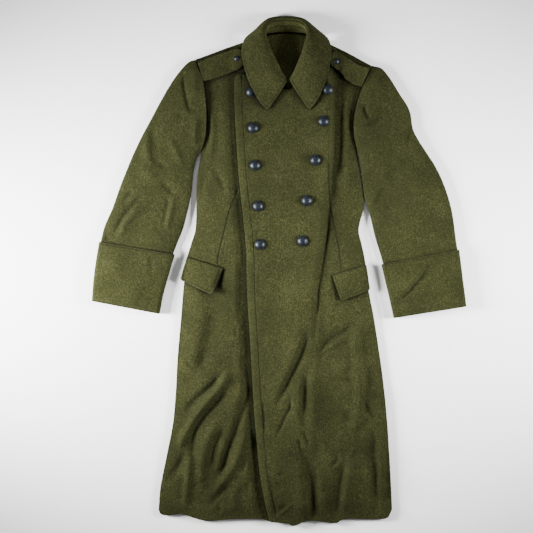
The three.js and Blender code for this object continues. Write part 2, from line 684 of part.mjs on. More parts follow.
// A shoulder strap, two layers of cloth laid on the front
const STRAP_THICK = 3.0;
const STRAP_GAP = 0.9; // it bridges the small hollows of the shoulder
function addStrap(name, rows, surface) {
  const ends = curveThrough(rows.map((row) => row.end));
  const sides = curveThrough(rows.map((row) => row.side));
  const outer = shares(8).map((s) =>
    shares(3).map((t) => {
      const p = ends(s).lerp(sides(s), t);
      return [p.x, p.y, surface(p.x, p.y) + STRAP_GAP + STRAP_THICK];
    }),
  );
  const inner = outer.map((row) => row.map(([x, y, z]) => [x, y, z - STRAP_THICK]));
  addCloth(name, wall(outer, inner), WOOL_DARK);
}
addStrap("shoulder_strap_right", rightStrap, rightFrontSurface);
addStrap("shoulder_strap_left", leftStrap, leftFrontSurface);

// A pocket flap, sewn along its upper edge and loose at the front
function addFlap(name, flap, surface) {
  const outer = shares(6).map((v) =>
    shares(7).map((u) => {
      const seam = [0, 1].map((k) => mix(flap.seamOuter[k], flap.seamInner[k], u));
      const free = [0, 1].map((k) => mix(flap.freeOuter[k], flap.freeInner[k], u));
      const [x, y] = [0, 1].map((k) => mix(seam[k], free[k], v));
      const lift = flap.innerLift * v * u ** 2;
      return [x, y, surface(x, y) + 2 * GAP + CLOTH + lift];
    }),
  );
  const inner = outer.map((row) => row.map(([x, y, z]) => [x, y, z - CLOTH]));
  addCloth(name, wall(outer, inner));
}
addFlap("pocket_flap_right", rightFlap, rightFrontSurface);
addFlap("pocket_flap_left", leftFlap, leftFrontSurface);

// A domed metal button with a rim, seated on the cloth
const BUTTON_SIDES = 12;
function addButton(name, { across, height }, x, y, surface) {
  const r = across / 2;
  const profile = [
    [0, 0],
    [0.86, 0],
    [1, 0.22],
    [0.98, 0.4],
    [0.72, 0.78],
    [0.38, 0.96],
    [0, 1],
  ].map(([out, up]) => new THREE.Vector2(out * r, up * height));
  const geometry = new THREE.LatheGeometry(profile, BUTTON_SIDES);
  geometry.rotateX(Math.PI / 2);
  const under = shares(BUTTON_SIDES).map((s) => {
    const turn = 2 * Math.PI * s;
    return surface(x + r * Math.cos(turn), y + r * Math.sin(turn));
  });
  geometry.translate(x, y, Math.max(surface(x, y), ...under) + GAP);
  addMesh(name, geometry, BUTTON_METAL, 0.4, 0.8);
}
for (const { name, x, y } of buttons) addButton(name, FRONT_BUTTON, x, y, leftFrontSurface);
const onStrap = (surface) => (x, y) => surface(x, y) + STRAP_GAP + STRAP_THICK;
addButton("button_strap_right", STRAP_BUTTON, -101, 509, onStrap(rightFrontSurface));
addButton("button_strap_left", STRAP_BUTTON, 136, 502, onStrap(leftFrontSurface));

export default coat;
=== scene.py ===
# A double-breasted military greatcoat of olive wool melton, buttoned and laid flat on its back,
# seen from straight above. Tables are in millimetres, meshes in metres.
import math

import bpy
import numpy as np
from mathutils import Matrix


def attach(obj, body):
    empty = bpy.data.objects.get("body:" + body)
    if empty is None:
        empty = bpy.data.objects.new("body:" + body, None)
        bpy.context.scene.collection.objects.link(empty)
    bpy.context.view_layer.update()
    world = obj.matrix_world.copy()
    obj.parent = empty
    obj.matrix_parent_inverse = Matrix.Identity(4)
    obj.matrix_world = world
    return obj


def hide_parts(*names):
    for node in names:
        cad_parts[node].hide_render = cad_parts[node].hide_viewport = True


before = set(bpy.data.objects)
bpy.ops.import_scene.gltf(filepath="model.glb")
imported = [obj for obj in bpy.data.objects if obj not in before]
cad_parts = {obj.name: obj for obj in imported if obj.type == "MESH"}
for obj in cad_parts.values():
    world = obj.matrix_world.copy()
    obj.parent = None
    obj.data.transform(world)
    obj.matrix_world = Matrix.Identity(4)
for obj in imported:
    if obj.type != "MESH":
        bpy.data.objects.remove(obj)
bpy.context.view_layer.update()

# The stage
# The coat lies on a plain pale floor under large soft lamps, two from the sides and one
# beyond the collar, and the camera looks straight down with the collar at the top.
MM = 0.001
VIEW_WIDTH = 1.2792  # what the frame spans at the height of the cloth
VIEW_CENTRE = (-0.0307, 0.0100)
CAMERA_HEIGHT = 4.2
CLOTH_LEVEL = 0.010
SENSOR = 36.0


def linear(hex_colour):
    parts = [int(hex_colour[i : i + 2], 16) / 255 for i in (1, 3, 5)]
    return [c / 12.92 if c <= 0.04045 else ((c + 0.055) / 1.055) ** 2.4 for c in parts] + [1.0]


def add_node(material, kind, settings=None, links=None):
    """Adds one node, sets its plain values and sockets, and links its inputs."""
    node = material.node_tree.nodes.new(kind)
    for key, value in (settings or {}).items():
        if isinstance(key, int) or key in node.inputs:
            node.inputs[key].default_value = value
        else:
            setattr(node, key, value)
    for key, source in (links or {}).items():
        material.node_tree.links.new(source, node.inputs[key])
    return node


def new_material(name):
    material = bpy.data.materials.new(name)
    material.use_nodes = True
    material.node_tree.nodes.clear()
    return material


def show(material, shader):
    add_node(material, "ShaderNodeOutputMaterial", links={"Surface": shader.outputs[0]})


camera_data = bpy.data.cameras.new("camera")
camera_data.sensor_width = SENSOR
camera_data.lens = SENSOR * (CAMERA_HEIGHT - CLOTH_LEVEL) / VIEW_WIDTH
camera = bpy.data.objects.new("camera", camera_data)
camera.location = (*VIEW_CENTRE, CAMERA_HEIGHT)
bpy.context.collection.objects.link(camera)
bpy.context.scene.camera = camera

FLOOR_HALF = 6.0
FLOOR_DROP = 0.0004  # just under the cloth
floor_mesh = bpy.data.meshes.new("floor")
floor_mesh.from_pydata(
    [(x * FLOOR_HALF, y * FLOOR_HALF, -FLOOR_DROP) for x, y in ((-1, -1), (1, -1), (1, 1), (-1, 1))],
    [],
    [(0, 1, 2, 3)],
)
floor = bpy.data.objects.new("floor", floor_mesh)
bpy.context.collection.objects.link(floor)
paper = new_material("background_paper")
paper_shader = add_node(
    paper, "ShaderNodeBsdfPrincipled", {"Base Color": linear("#fbfbfa"), "Roughness": 0.9}
)
show(paper, paper_shader)
floor_mesh.materials.append(paper)

LAMPS = [
    # name, place, size, watts, spread
    ("lamp_left", (-1.6, -0.02, 0.52), (0.5, 0.5), 38, 66),
    ("lamp_right", (1.6, 0.02, 0.66), (0.5, 0.5), 19, 66),
    ("lamp_top", (-0.1, 1.9, 1.2), (1.6, 0.6), 4, 120),
]
for name, place, size, watts, spread in LAMPS:
    lamp_data = bpy.data.lights.new(name, "AREA")
    lamp_data.spread = math.radians(spread)
    lamp_data.shape = "RECTANGLE"
    lamp_data.size, lamp_data.size_y = size
    lamp_data.energy = watts
    lamp = bpy.data.objects.new(name, lamp_data)
    lamp.location = place
    aim = np.array((0.0, 0.0, 0.0)) - np.array(place)
    lamp.rotation_euler = (
        math.acos(-aim[2] / np.linalg.norm(aim)),
        0,
        math.atan2(aim[1], aim[0]) - math.pi / 2,
    )
    bpy.context.collection.objects.link(lamp)

ROOM_LIGHT = 0.21
world = bpy.data.worlds.new("soft_room")
bpy.context.scene.world = world
world.use_nodes = True
world.node_tree.nodes["Background"].inputs["Color"].default_value = linear("#ffffff")
world.node_tree.nodes["Background"].inputs["Strength"].default_value = ROOM_LIGHT

# Back
# One panel of heavy wool melton from hem to shoulders, lying on its outer side. Only its
# inner side shows, deep inside the neck; the rest carries the fronts.
CLOTH = 3.0
GAP = 0.3
CENTRE_X = 17
HEM_CORNER_Y = -574
UNDERARM_Y = 290
SIDE_SHARE = 0.79
BODY_SIDES = {
    "y": [-574, -522, -445, -368, -291, -214, -109, -48, 26, 64, 98, 160, 222, 290],
    "right": [-290, -286, -271, -256, -249, -245, -236, -231, -223, -212, -202, -199, -197, -186],
    "left": [271, 269, 265, 260, 253, 243, 227, 215, 206, 198, 191, 204, 197, 186],
}
ARMHOLES = {
    "right": [(-186, 290), (-177, 322), (-174, 369), (-176, 412), (-183, 459), (-201, 507)],
    "left": [(186, 290), (179, 326), (179, 368), (186, 402), (198, 439), (222, 492)],
}
HEM = [
    (-290, -574), (-286, -584), (-272, -588), (-234, -585), (-205, -594), (-176, -601),
    (-118, -597), (-42, -597), (-20, -603), (20, -607), (33, -613), (69, -601), (138, -606),
    (152, -597), (237, -597), (262, -592), (271, -574),
]
BACK_TOP = [
    (-201, 507), (-142, 529), (-92, 547), (-60, 552), (-30, 564), (CENTRE_X, 569), (64, 564),
    (94, 552), (124, 543), (168, 522), (222, 492),
]


def through(rows):
    """A smooth function through pairs of numbers, by the first of each pair."""
    xs, ys = (np.array(c, float) for c in zip(*rows))
    slopes = np.empty_like(xs)
    slopes[1:-1] = (ys[2:] - ys[:-2]) / (xs[2:] - xs[:-2])
    slopes[0], slopes[-1] = np.diff(ys)[0] / np.diff(xs)[0], np.diff(ys)[-1] / np.diff(xs)[-1]

    def at(x):
        x = np.clip(x, xs[0], xs[-1])
        i = np.clip(np.searchsorted(xs, x, side="right") - 1, 0, len(xs) - 2)
        span = xs[i + 1] - xs[i]
        t = (x - xs[i]) / span
        return (
            (2 * t**3 - 3 * t**2 + 1) * ys[i]
            + (t**3 - 2 * t**2 + t) * span * slopes[i]
            + (3 * t**2 - 2 * t**3) * ys[i + 1]
            + (t**3 - t**2) * span * slopes[i + 1]
        )

    return at


def dense(points, steps=24):
    """The points of a smooth curve through a list of points, close together."""
    p = np.array(points, float)
    ends = [2 * p[0] - p[1], *p, 2 * p[-1] - p[-2]]
    made = []
    for a, b, c, d in zip(ends, ends[1:], ends[2:], ends[3:]):
        spans = [max(np.linalg.norm(q - r), 1e-6) ** 0.5 for q, r in ((b, a), (c, b), (d, c))]
        knots = np.cumsum([0] + spans)
        for t in np.linspace(knots[1], knots[2], steps, endpoint=False):
            a1 = (knots[1] - t) / knots[1] * a + t / knots[1] * b
            a2 = ((knots[2] - t) * b + (t - knots[1]) * c) / (knots[2] - knots[1])
            a3 = ((knots[3] - t) * c + (t - knots[2]) * d) / (knots[3] - knots[2])
            b1 = ((knots[2] - t) * a1 + t * a2) / knots[2]
            b2 = ((knots[3] - t) * a2 + (t - knots[1]) * a3) / (knots[3] - knots[1])
            made.append(((knots[2] - t) * b1 + (t - knots[1]) * b2) / (knots[2] - knots[1]))
    return np.array([*made, p[-1]])


def along(points):
    """A smooth curve through a list of points, by its share of the length."""
    line = dense(points)
    walked = np.concatenate([[0], np.cumsum(np.linalg.norm(np.diff(line, axis=0), axis=1))])

    def at(share):
        s = np.clip(share, 0, 1) * walked[-1]
        return np.stack([np.interp(s, walked, line[:, k]) for k in range(line.shape[1])], axis=-1)

    return at


def ease(x, low, high):
    t = np.clip((x - low) / (high - low), 0, 1)
    return t * t * (3 - 2 * t)


def mix(a, b, t):
    return a + (b - a) * t


hem_at = through(HEM)
side_x = {k: through(list(zip(BODY_SIDES["y"], BODY_SIDES[k]))) for k in ("right", "left")}
armhole_at = {k: along(points) for k, points in ARMHOLES.items()}


def body_edge(which):
    """The body's outline on one side, by its share of the height: side, then armhole."""

    def at(share):
        share = np.asarray(share, float)
        y = mix(HEM_CORNER_Y, UNDERARM_Y, np.clip(share / SIDE_SHARE, 0, 1))
        side = np.stack([side_x[which](y), y], axis=-1)
        armhole = armhole_at[which]((share - SIDE_SHARE) / (1 - SIDE_SHARE))
        return np.where((share <= SIDE_SHARE)[..., None], side, armhole)

    return at


def straight_across(u, y, a, b):
    return mix(a[..., 0], b[..., 0], u)


def panel_plan(edge_a, edge_b, top_at, x_at, us, vs):
    """Points of a panel between two upright edges, its rows bent to the hem and the top."""
    u, v = np.meshgrid(us, vs)

    def straight(w):
        a, b = edge_a(w), edge_b(w)
        y = mix(a[..., 1], b[..., 1], u)
        return x_at(u, y, a, b), y

    def bend(w, line_at):
        x, y = straight(np.full_like(u, w))
        return line_at(x) - y

    x, y = straight(v)
    return x, y + (1 - v) ** 3 * bend(0.0, hem_at) + v**4 * bend(1.0, top_at)


def close_to_edges(length, step, fine=(0, 0.3, 0.8, 1.6, 2.8)):
    """Shares of a length, evenly spaced but for a few close to each end, which turn the edge."""
    near = np.array(fine) / length
    between = np.linspace(near[-1], 1 - near[-1], max(3, round(length / step)))[1:-1]
    return np.concatenate([near, between, 1 - near[::-1]])


def neck_lift(x, y, early):
    """The collar's back lies under the neck, and lifts what is above it."""
    across = 1 - ease(np.abs(x - CENTRE_X), 84 + early, 122 + early)
    return (CLOTH + GAP) * across * ease(y, 492 - early, 530 - early)


def grid_normals(p):
    along_rows = np.gradient(p, axis=0)
    along_columns = np.gradient(p, axis=1)
    n = np.cross(along_columns, along_rows)
    return n / np.maximum(np.linalg.norm(n, axis=2, keepdims=True), 1e-9)


def round_edges(p, radius):
    """How far the outer face sinks near the edges of a grid."""
    rows = np.linalg.norm(np.diff(p, axis=0), axis=2)
    columns = np.linalg.norm(np.diff(p, axis=1), axis=2)
    zero_row, zero_column = np.zeros((1, p.shape[1])), np.zeros((p.shape[0], 1))
    from_edges = [
        np.vstack([zero_row, np.cumsum(rows, axis=0)]),
        np.vstack([np.cumsum(rows[::-1], axis=0)[::-1], zero_row]),
        np.hstack([zero_column, np.cumsum(columns, axis=1)]),
        np.hstack([np.cumsum(columns[:, ::-1], axis=1)[:, ::-1], zero_column]),
    ]
    nearest = np.min(from_edges, axis=0)
    t = np.clip(1 - nearest / radius, 0, 1)
    return radius * (1 - np.sqrt(1 - t**2))


NO_LINE = 100.0


def mesh_object(name, points, faces, material, line=None):
    """A mesh object. line is each point's distance in millimetres from a seam or stitched line."""
    mesh = bpy.data.meshes.new(name)
    points = np.asarray(points).reshape(-1, 3)
    mesh.from_pydata(points.tolist(), [], faces)
    mesh.shade_smooth()
    distances = np.full(len(points), NO_LINE)
    if line is not None:
        distances[: line.size] = line.ravel()
    mesh.attributes.new("line_mm", "FLOAT", "POINT").data.foreach_set("value", distances)
    mesh.materials.append(material)
    piece = bpy.data.objects.new(name, mesh)
    bpy.context.collection.objects.link(piece)
    return piece


def quads(a, b, c, d):
    return np.stack([a.ravel(), b.ravel(), c.ravel(), d.ravel()], axis=1).tolist()


def cloth_sheet(name, p, thickness, material, line=None, normals=None):
    """A closed thin shell under a grid of outer points in millimetres, with rounded edges."""
    n = grid_normals(p) if normals is None else normals
    sink = np.minimum(round_edges(p, thickness * 0.5), thickness * 0.46)[..., None]
    outer, inner = p - n * sink, p - n * (thickness - sink)
    rows, columns = p.shape[:2]
    ids = np.arange(rows * columns).reshape(rows, columns)
    under = ids + rows * columns
    faces = quads(ids[:-1, :-1], ids[:-1, 1:], ids[1:, 1:], ids[1:, :-1])
    faces += quads(under[:-1, :-1], under[1:, :-1], under[1:, 1:], under[:-1, 1:])
    faces += quads(ids[0, :-1], under[0, :-1], under[0, 1:], ids[0, 1:])
    faces += quads(ids[-1, :-1], ids[-1, 1:], under[-1, 1:], under[-1, :-1])
    faces += quads(ids[:-1, 0], ids[1:, 0], under[1:, 0], under[:-1, 0])
    faces += quads(ids[:-1, -1], under[:-1, -1], under[1:, -1], ids[1:, -1])
    return mesh_object(name, np.concatenate([outer, inner]) * MM, faces, material, line)


LINE_WIDTH = 1.3  # half-width of the groove that a seam or a row of stitches draws in the nap
LINE_SHADE = 0.52
# Reach of the painted shade that darkens the wool's colour in recesses, creases and gaps
PAINTED_SHADE_REACH = 0.032  # metres, about the width of a fold


def wool_melton(name, dark, middle, light, painted_shade_power):
    """Fulled and napped wool: no weave shows, only a matt felted grain of dark and light olive
    fibres 2 to 5 mm apart, softly clouded over a hand's width, with a faint bloom at grazing.
    Its colour is darkened by painted shade in its recesses, from an ambient-occlusion node raised to the
    power given last."""
    material = new_material(name)
    place = add_node(material, "ShaderNodeTexCoord").outputs["Object"]
    brushed = add_node(
        material, "ShaderNodeMapping", {"Scale": (1.0, 0.62, 1.0)}, {"Vector": place}
    ).outputs[0]
    noise = {}
    for layer, scale, detail, roughness, at in (
        # name, repeats to the metre, detail, roughness, what it is laid along
        ("grain", 520.0, 4.0, 0.7, brushed),
        ("clumps", 210.0, 2.0, 0.5, brushed),
        ("clouds", 11.0, 3.0, 0.55, place),
        ("fibre", 900.0, 3.0, 0.7, brushed),
    ):
        settings = {"Scale": scale, "Detail": detail, "Roughness": roughness}
        made = add_node(material, "ShaderNodeTexNoise", settings, {"Vector": at})
        noise[layer] = made.outputs["Fac"]
    both = add_node(
        material,
        "ShaderNodeMath",
        {"operation": "MULTIPLY_ADD", 1: 0.16},
        {0: noise["clumps"], 2: noise["grain"]},
    )
    clouded = add_node(
        material,
        "ShaderNodeMath",
        {"operation": "MULTIPLY_ADD", 1: 0.24},
        {0: noise["clouds"], 2: both.outputs[0]},
    )
    ramp = add_node(material, "ShaderNodeValToRGB", links={"Fac": clouded.outputs[0]})
    ramp.color_ramp.elements[0].position = 0.46
    ramp.color_ramp.elements[0].color = linear(dark)
    ramp.color_ramp.elements[1].position = 0.9
    ramp.color_ramp.elements[1].color = linear(light)
    ramp.color_ramp.elements.new(0.695).color = linear(middle)
    pile = add_node(
        material,
        "ShaderNodeMath",
        {"operation": "MULTIPLY_ADD", 1: 0.5},
        {0: noise["fibre"], 2: both.outputs[0]},
    )
    bump = add_node(
        material,
        "ShaderNodeBump",
        {"Strength": 0.6, "Distance": 0.0012},
        {"Height": pile.outputs[0]},
    )
    line = add_node(material, "ShaderNodeAttribute", {"attribute_name": "line_mm"}).outputs["Fac"]
    squared = add_node(material, "ShaderNodeMath", {"operation": "MULTIPLY"}, {0: line, 1: line})
    spread = add_node(
        material, "ShaderNodeMath", {"operation": "MULTIPLY", 1: -1 / LINE_WIDTH**2}, {0: squared.outputs[0]}
    )
    groove = add_node(material, "ShaderNodeMath", {"operation": "EXPONENT"}, {0: spread.outputs[0]})
    drawn = add_node(
        material,
        "ShaderNodeBump",
        {"Strength": 0.9, "Distance": 0.0012, "invert": True},
        {"Height": groove.outputs[0], "Normal": bump.outputs[0]},
    )
    unshaded = add_node(
        material,
        "ShaderNodeMath",
        {"operation": "MULTIPLY_ADD", 1: -LINE_SHADE, 2: 1.0},
        {0: groove.outputs[0]},
    )
    # Painted shade: ambient occlusion darkens the base colour in recesses, under edges and between parts
    painted_ao_shade = add_node(material, "ShaderNodeAmbientOcclusion", {"Distance": PAINTED_SHADE_REACH, "samples": 8})
    painted_shade_factor = add_node(
        material, "ShaderNodeMath", {"operation": "POWER", 1: painted_shade_power}, {0: painted_ao_shade.outputs["AO"]}
    )
    shade = add_node(
        material,
        "ShaderNodeMath",
        {"operation": "MULTIPLY"},
        {0: painted_shade_factor.outputs[0], 1: unshaded.outputs[0]},
    )
    colour_with_painted_shade = add_node(
        material,
        "ShaderNodeVectorMath",
        {"operation": "SCALE"},
        {0: ramp.outputs["Color"], "Scale": shade.outputs[0]},
    )
    shader = add_node(
        material,
        "ShaderNodeBsdfPrincipled",
        {
            "Roughness": 0.96,
            "Specular IOR Level": 0.08,
            "Sheen Weight": 0.04,
            "Sheen Roughness": 0.55,
            "Sheen Tint": linear("#b9b48c"),
        },
        {"Base Color": colour_with_painted_shade.outputs[0], "Normal": drawn.outputs[0]},
    )
    show(material, shader)
    return material


# How strongly the painted ambient-occlusion shade darkens each material's colour
OUTER_PAINTED_SHADE = 2.0
INNER_PAINTED_SHADE = 0.35
melton = wool_melton("wool_melton_olive", "#0e0f05", "#1e200c", "#393b20", OUTER_PAINTED_SHADE)
# The inner side's colours are painted lighter than the outer's, as painted light where little lamp light
# reaches inside the neck, and they carry less painted shade
melton_inside_painted_lighter = wool_melton(
    "wool_melton_inner_side_painted_lighter", "#1b1c0c", "#2f3117", "#4c4e2f", INNER_PAINTED_SHADE
)

STEP = 3.2  # spacing of the mesh points over a panel
back_x, back_y = panel_plan(
    body_edge("right"),
    body_edge("left"),
    through(BACK_TOP),
    straight_across,
    close_to_edges(500, 9),
    close_to_edges(1150, 9),
)
back_z = CLOTH + neck_lift(back_x, back_y, 0)
back = cloth_sheet("back_panel", np.dstack([back_x, back_y, back_z]), CLOTH, melton_inside_painted_lighter)
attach(back, "root")
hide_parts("back")

# Right front
# The wearer's right front, a melton panel sewn to the back along side and shoulder. Its inner
# third lies flat under the left front, and the skirt falls in soft slanting folds.
RIGHT_FRONT_TOP = [
    (-201, 507), (-142, 529), (-92, 546), (-63, 549), (-52, 519), (-30, 480), (0, 450),
    (22, 437), (60, 443), (118, 466),
]
FRONT_LINES = {
    "y": [-603, -553, -500, -445, -320, -181, -46, 47, 134, 218, 338, 410, 473],
    "closing": [-24, -36, -46, -52, -62, -70, -78, -80, -88, -97, -105, -108, -108],
    "roll": [84, 82, 78, 72, 62, 82, 95, 104, 114, 126, 130, 128, 120],
    "underlap": [52, 60, 66, 70, 76, 84, 92, 96, 100, 106, 114, 117, 118],
}
PUFFS = [(-603, 5.5), (-200, 6.5), (0, 4.6), (250, 4.0), (380, 2.4), (560, 2.4)]
FRONT_EARLY = 14
FRONT_SHOWS = 0.62
RIGHT_FRONT_FOOT = CLOTH + GAP
RIGHT_FRONT_FOLDS = [
    # path, height, half-width to the left and to the right of the path
    ([(-162, 400), (-160, 340), (-164, 290), (-172, 255)], 3.5, 9, 9),
    ([(-196, -20), (-192, -110), (-200, -190), (-214, -250)], 4.5, 24, 26),
    ([(-112, -232), (-150, -288), (-192, -338), (-226, -392), (-246, -440)], 7.5, 10, 11),
    ([(-84, -262), (-98, -300), (-116, -340)], 4, 12, 14),
    ([(-74, -372), (-92, -422), (-112, -470), (-140, -512), (-162, -540)], 6, 11, 9),
    ([(-150, -352), (-176, -420), (-188, -480), (-186, -540)], 4.5, 13, 10),
    ([(-214, -430), (-219, -480), (-223, -535), (-229, -580)], 5.5, 9, 8),
    ([(-128, -392), (-140, -440), (-152, -490)], 3, 8, 7),
    ([(-96, -500), (-108, -545), (-114, -590)], 3.5, 12, 12),
]
RIGHT_FRONT_CREASES = [
    ([(-90, 30), (-91, -40), (-92, -100), (-90, -125)], -6, 9, 9),
    ([(-76, -108), (-84, -130), (-93, -153)], -3.5, 5, 5),
    ([(-102, -128), (-105, -165)], -2, 4, 4),
    ([(-94, -192), (-80, -218), (-72, -250), (-70, -292), (-86, -331), (-100, -371), (-108, -398),
      (-124, -432), (-134, -468), (-150, -503)], -6, 7, 8),
    ([(-60, -378), (-60, -450)], -5, 7, 8),
    ([(-52, -480), (-46, -540), (-36, -600)], -6, 4, 12),
    ([(-128, -237), (-160, -275), (-188, -300), (-212, -324), (-230, -348)], -5, 7, 8),
    ([(-120, -278), (-150, -314), (-180, -346), (-200, -374), (-208, -402), (-208, -430),
      (-204, -466)], -4.5, 8, 6),
    ([(-126, -368), (-148, -404), (-159, -430), (-163, -455), (-168, -485)], -4, 6, 6),
    ([(-74, -440), (-86, -470), (-90, -490)], -2.5, 5, 5),
    ([(-122, -508), (-146, -540), (-168, -566)], -4.5, 8, 8),
    ([(-142, -548), (-143, -584)], -3, 7, 7),
    ([(-72, -496), (-77, -534)], -3, 6, 6),
    ([(-226, -432), (-240, -466), (-262, -498), (-276, -510)], -5, 9, 9),
    ([(-162, -495), (-214, -523)], -1.6, 4, 4),
    ([(-230, -208), (-204, -239), (-190, -245)], -2, 4, 4),
    ([(-138, -170), (-156, -190), (-180, -200), (-182, -240)], -2, 9, 9),
    ([(-148, -84), (-164, -140), (-184, -200), (-196, -260)], -2.6, 16, 14),
    ([(-164, 247), (-142, 221), (-130, 187)], -2.4, 7, 7),
    ([(-182, 100), (-180, 88)], -1.5, 12, 12),
    ([(-200, 45), (-150, 27)], -1.4, 6, 6),
    ([(-133, 8), (-144, -22), (-154, -52)], -4.5, 7, 8),
    ([(-168, 252), (-186, 200), (-188, 150)], -2.0, 9, 9),
]
DART_LINE = 0.62  # a dart, its groove wider than LINE_WIDTH gives
RIGHT_DART = [(-100, 193), (-120, 141), (-134, 85), (-146, 37), (-148, 21)]
FOLD_RUN_OUT = 42.0  # at most, to each end of a fold


def signed_distance(path, x, y):
    """Distance of each point from a line through a few points, and which side of it."""
    line = dense(path, 8)
    best, signed = np.full(x.shape, np.inf), np.full(x.shape, NO_LINE)
    for start, step in zip(line[:-1], np.diff(line, axis=0)):
        length = np.linalg.norm(step)
        dx, dy = x - start[0], y - start[1]
        t = np.clip((dx * step[0] + dy * step[1]) / length**2, 0, 1)
        qx, qy = dx - t * step[0], dy - t * step[1]
        d = np.hypot(qx, qy)
        nearer = d < best
        best = np.where(nearer, d, best)
        side = np.where(step[0] * qy - step[1] * qx > 0, 1, -1)
        signed = np.where(nearer, d * side, signed)
    return signed


def fold_height(folds, x, y):
    """Height that soft ridges and troughs along their paths add at each point."""
    total = np.zeros_like(x)
    for path, rise, left, right in folds:
        line = dense(path, 8) if len(path) > 2 else np.array(path, float)
        starts, steps = line[:-1], np.diff(line, axis=0)
        lengths = np.linalg.norm(steps, axis=1)
        walked = np.concatenate([[0], np.cumsum(lengths)])
        reach = 2.6 * max(left, right)
        box = (
            (x > line[:, 0].min() - reach)
            & (x < line[:, 0].max() + reach)
            & (y > line[:, 1].min() - reach)
            & (y < line[:, 1].max() + reach)
        )
        px, py = x[box], y[box]
        best = np.full(px.shape, np.inf)
        side, at = np.zeros_like(px), np.zeros_like(px)
        for start, step, length, before in zip(starts, steps, lengths, walked):
            dx, dy = px - start[0], py - start[1]
            t = np.clip((dx * step[0] + dy * step[1]) / length**2, 0, 1)
            qx, qy = dx - t * step[0], dy - t * step[1]
            d2 = qx**2 + qy**2
            nearer = d2 < best
            best = np.where(nearer, d2, best)
            side = np.where(nearer, step[0] * qy - step[1] * qx, side)
            at = np.where(nearer, before + t * length, at)
        width = np.where(side > 0, left, right)
        run_out = min(walked[-1] * 0.3, FOLD_RUN_OUT)
        fade = ease(at, 0, run_out) * ease(walked[-1] - at, 0, run_out)
        total[box] += rise * fade * np.exp(-best / width**2)
    return total


def waviness(x, y, size, seed):
    """Smooth unevenness between -1 and 1, the same on each run."""
    lattice = np.random.RandomState(seed).uniform(-1, 1, (64, 64))
    gx, gy = (x / size + 640) % 64, (y / size + 640) % 64
    ix, iy = gx.astype(int) % 64, gy.astype(int) % 64
    tx, ty = gx - np.floor(gx), gy - np.floor(gy)
    tx, ty = tx * tx * (3 - 2 * tx), ty * ty * (3 - 2 * ty)
    jx, jy = (ix + 1) % 64, (iy + 1) % 64
    low = mix(lattice[ix, iy], lattice[jx, iy], tx)
    high = mix(lattice[ix, jy], lattice[jx, jy], tx)
    return mix(low, high, ty)


def slack(x, y, seed):
    """Gentle undulation of cloth that lies unironed: least on the chest, most in the skirt."""
    amount = 0.45 + 0.75 * ease(-y, -60, 300)
    return amount * (1.5 * waviness(x, y * 0.6, 68, seed) + 0.7 * waviness(x, y * 0.7, 31, seed + 1))


def soft_floor(form):
    """The form, kept above zero without a hard edge."""
    return 0.5 * (form + np.sqrt(form**2 + 0.8))


line_x = {k: through(list(zip(FRONT_LINES["y"], FRONT_LINES[k]))) for k in ("closing", "roll", "underlap")}
puff_at = through(PUFFS)


def puff(which, x, y):
    """How far a front stands off what it lies on: nothing at the side seam, most in the skirt,
    less again at the hem."""
    edge = np.where(y < UNDERARM_Y, side_x[which](y), -178 if which == "right" else 184)
    return puff_at(y) * (1 - np.exp(-np.abs(x - edge) / 26)) * (1 - 0.45 * ease(-y, 562, 602))


def right_front_surface(x, y):
    shows = 1 - ease(x, line_x["closing"](y) - 30, line_x["closing"](y) - 5)
    form = puff("right", x, y) + slack(x, y, 11)
    form = form + fold_height(RIGHT_FRONT_FOLDS + RIGHT_FRONT_CREASES, x, y)
    return RIGHT_FRONT_FOOT + CLOTH + neck_lift(x, y, FRONT_EARLY) + shows * soft_floor(form)


def underlap_edge(v):
    y = mix(-603.0, 466.0, v)
    return np.stack([line_x["underlap"](y), y], axis=-1)


def right_front_x(u, y, a, b):
    closing = line_x["closing"](y)
    shown = mix(a[..., 0], closing, u / FRONT_SHOWS)
    hidden = mix(closing, b[..., 0], (u - FRONT_SHOWS) / (1 - FRONT_SHOWS))
    return np.where(u <= FRONT_SHOWS, shown, hidden)


shown_columns = close_to_edges(200, 3.0) * FRONT_SHOWS
hidden_columns = FRONT_SHOWS + (1 - FRONT_SHOWS) * close_to_edges(160, 14)
right_x, right_y = panel_plan(
    body_edge("right"),
    underlap_edge,
    through(RIGHT_FRONT_TOP),
    right_front_x,
    np.concatenate([shown_columns[:-1], hidden_columns]),
    close_to_edges(1150, STEP),
)
right_z = right_front_surface(right_x, right_y)
right_line = DART_LINE * signed_distance(RIGHT_DART, right_x, right_y)
front_right = cloth_sheet("right_front", np.dstack([right_x, right_y, right_z]), CLOTH, melton, right_line)
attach(front_right, "root")
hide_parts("front_right")

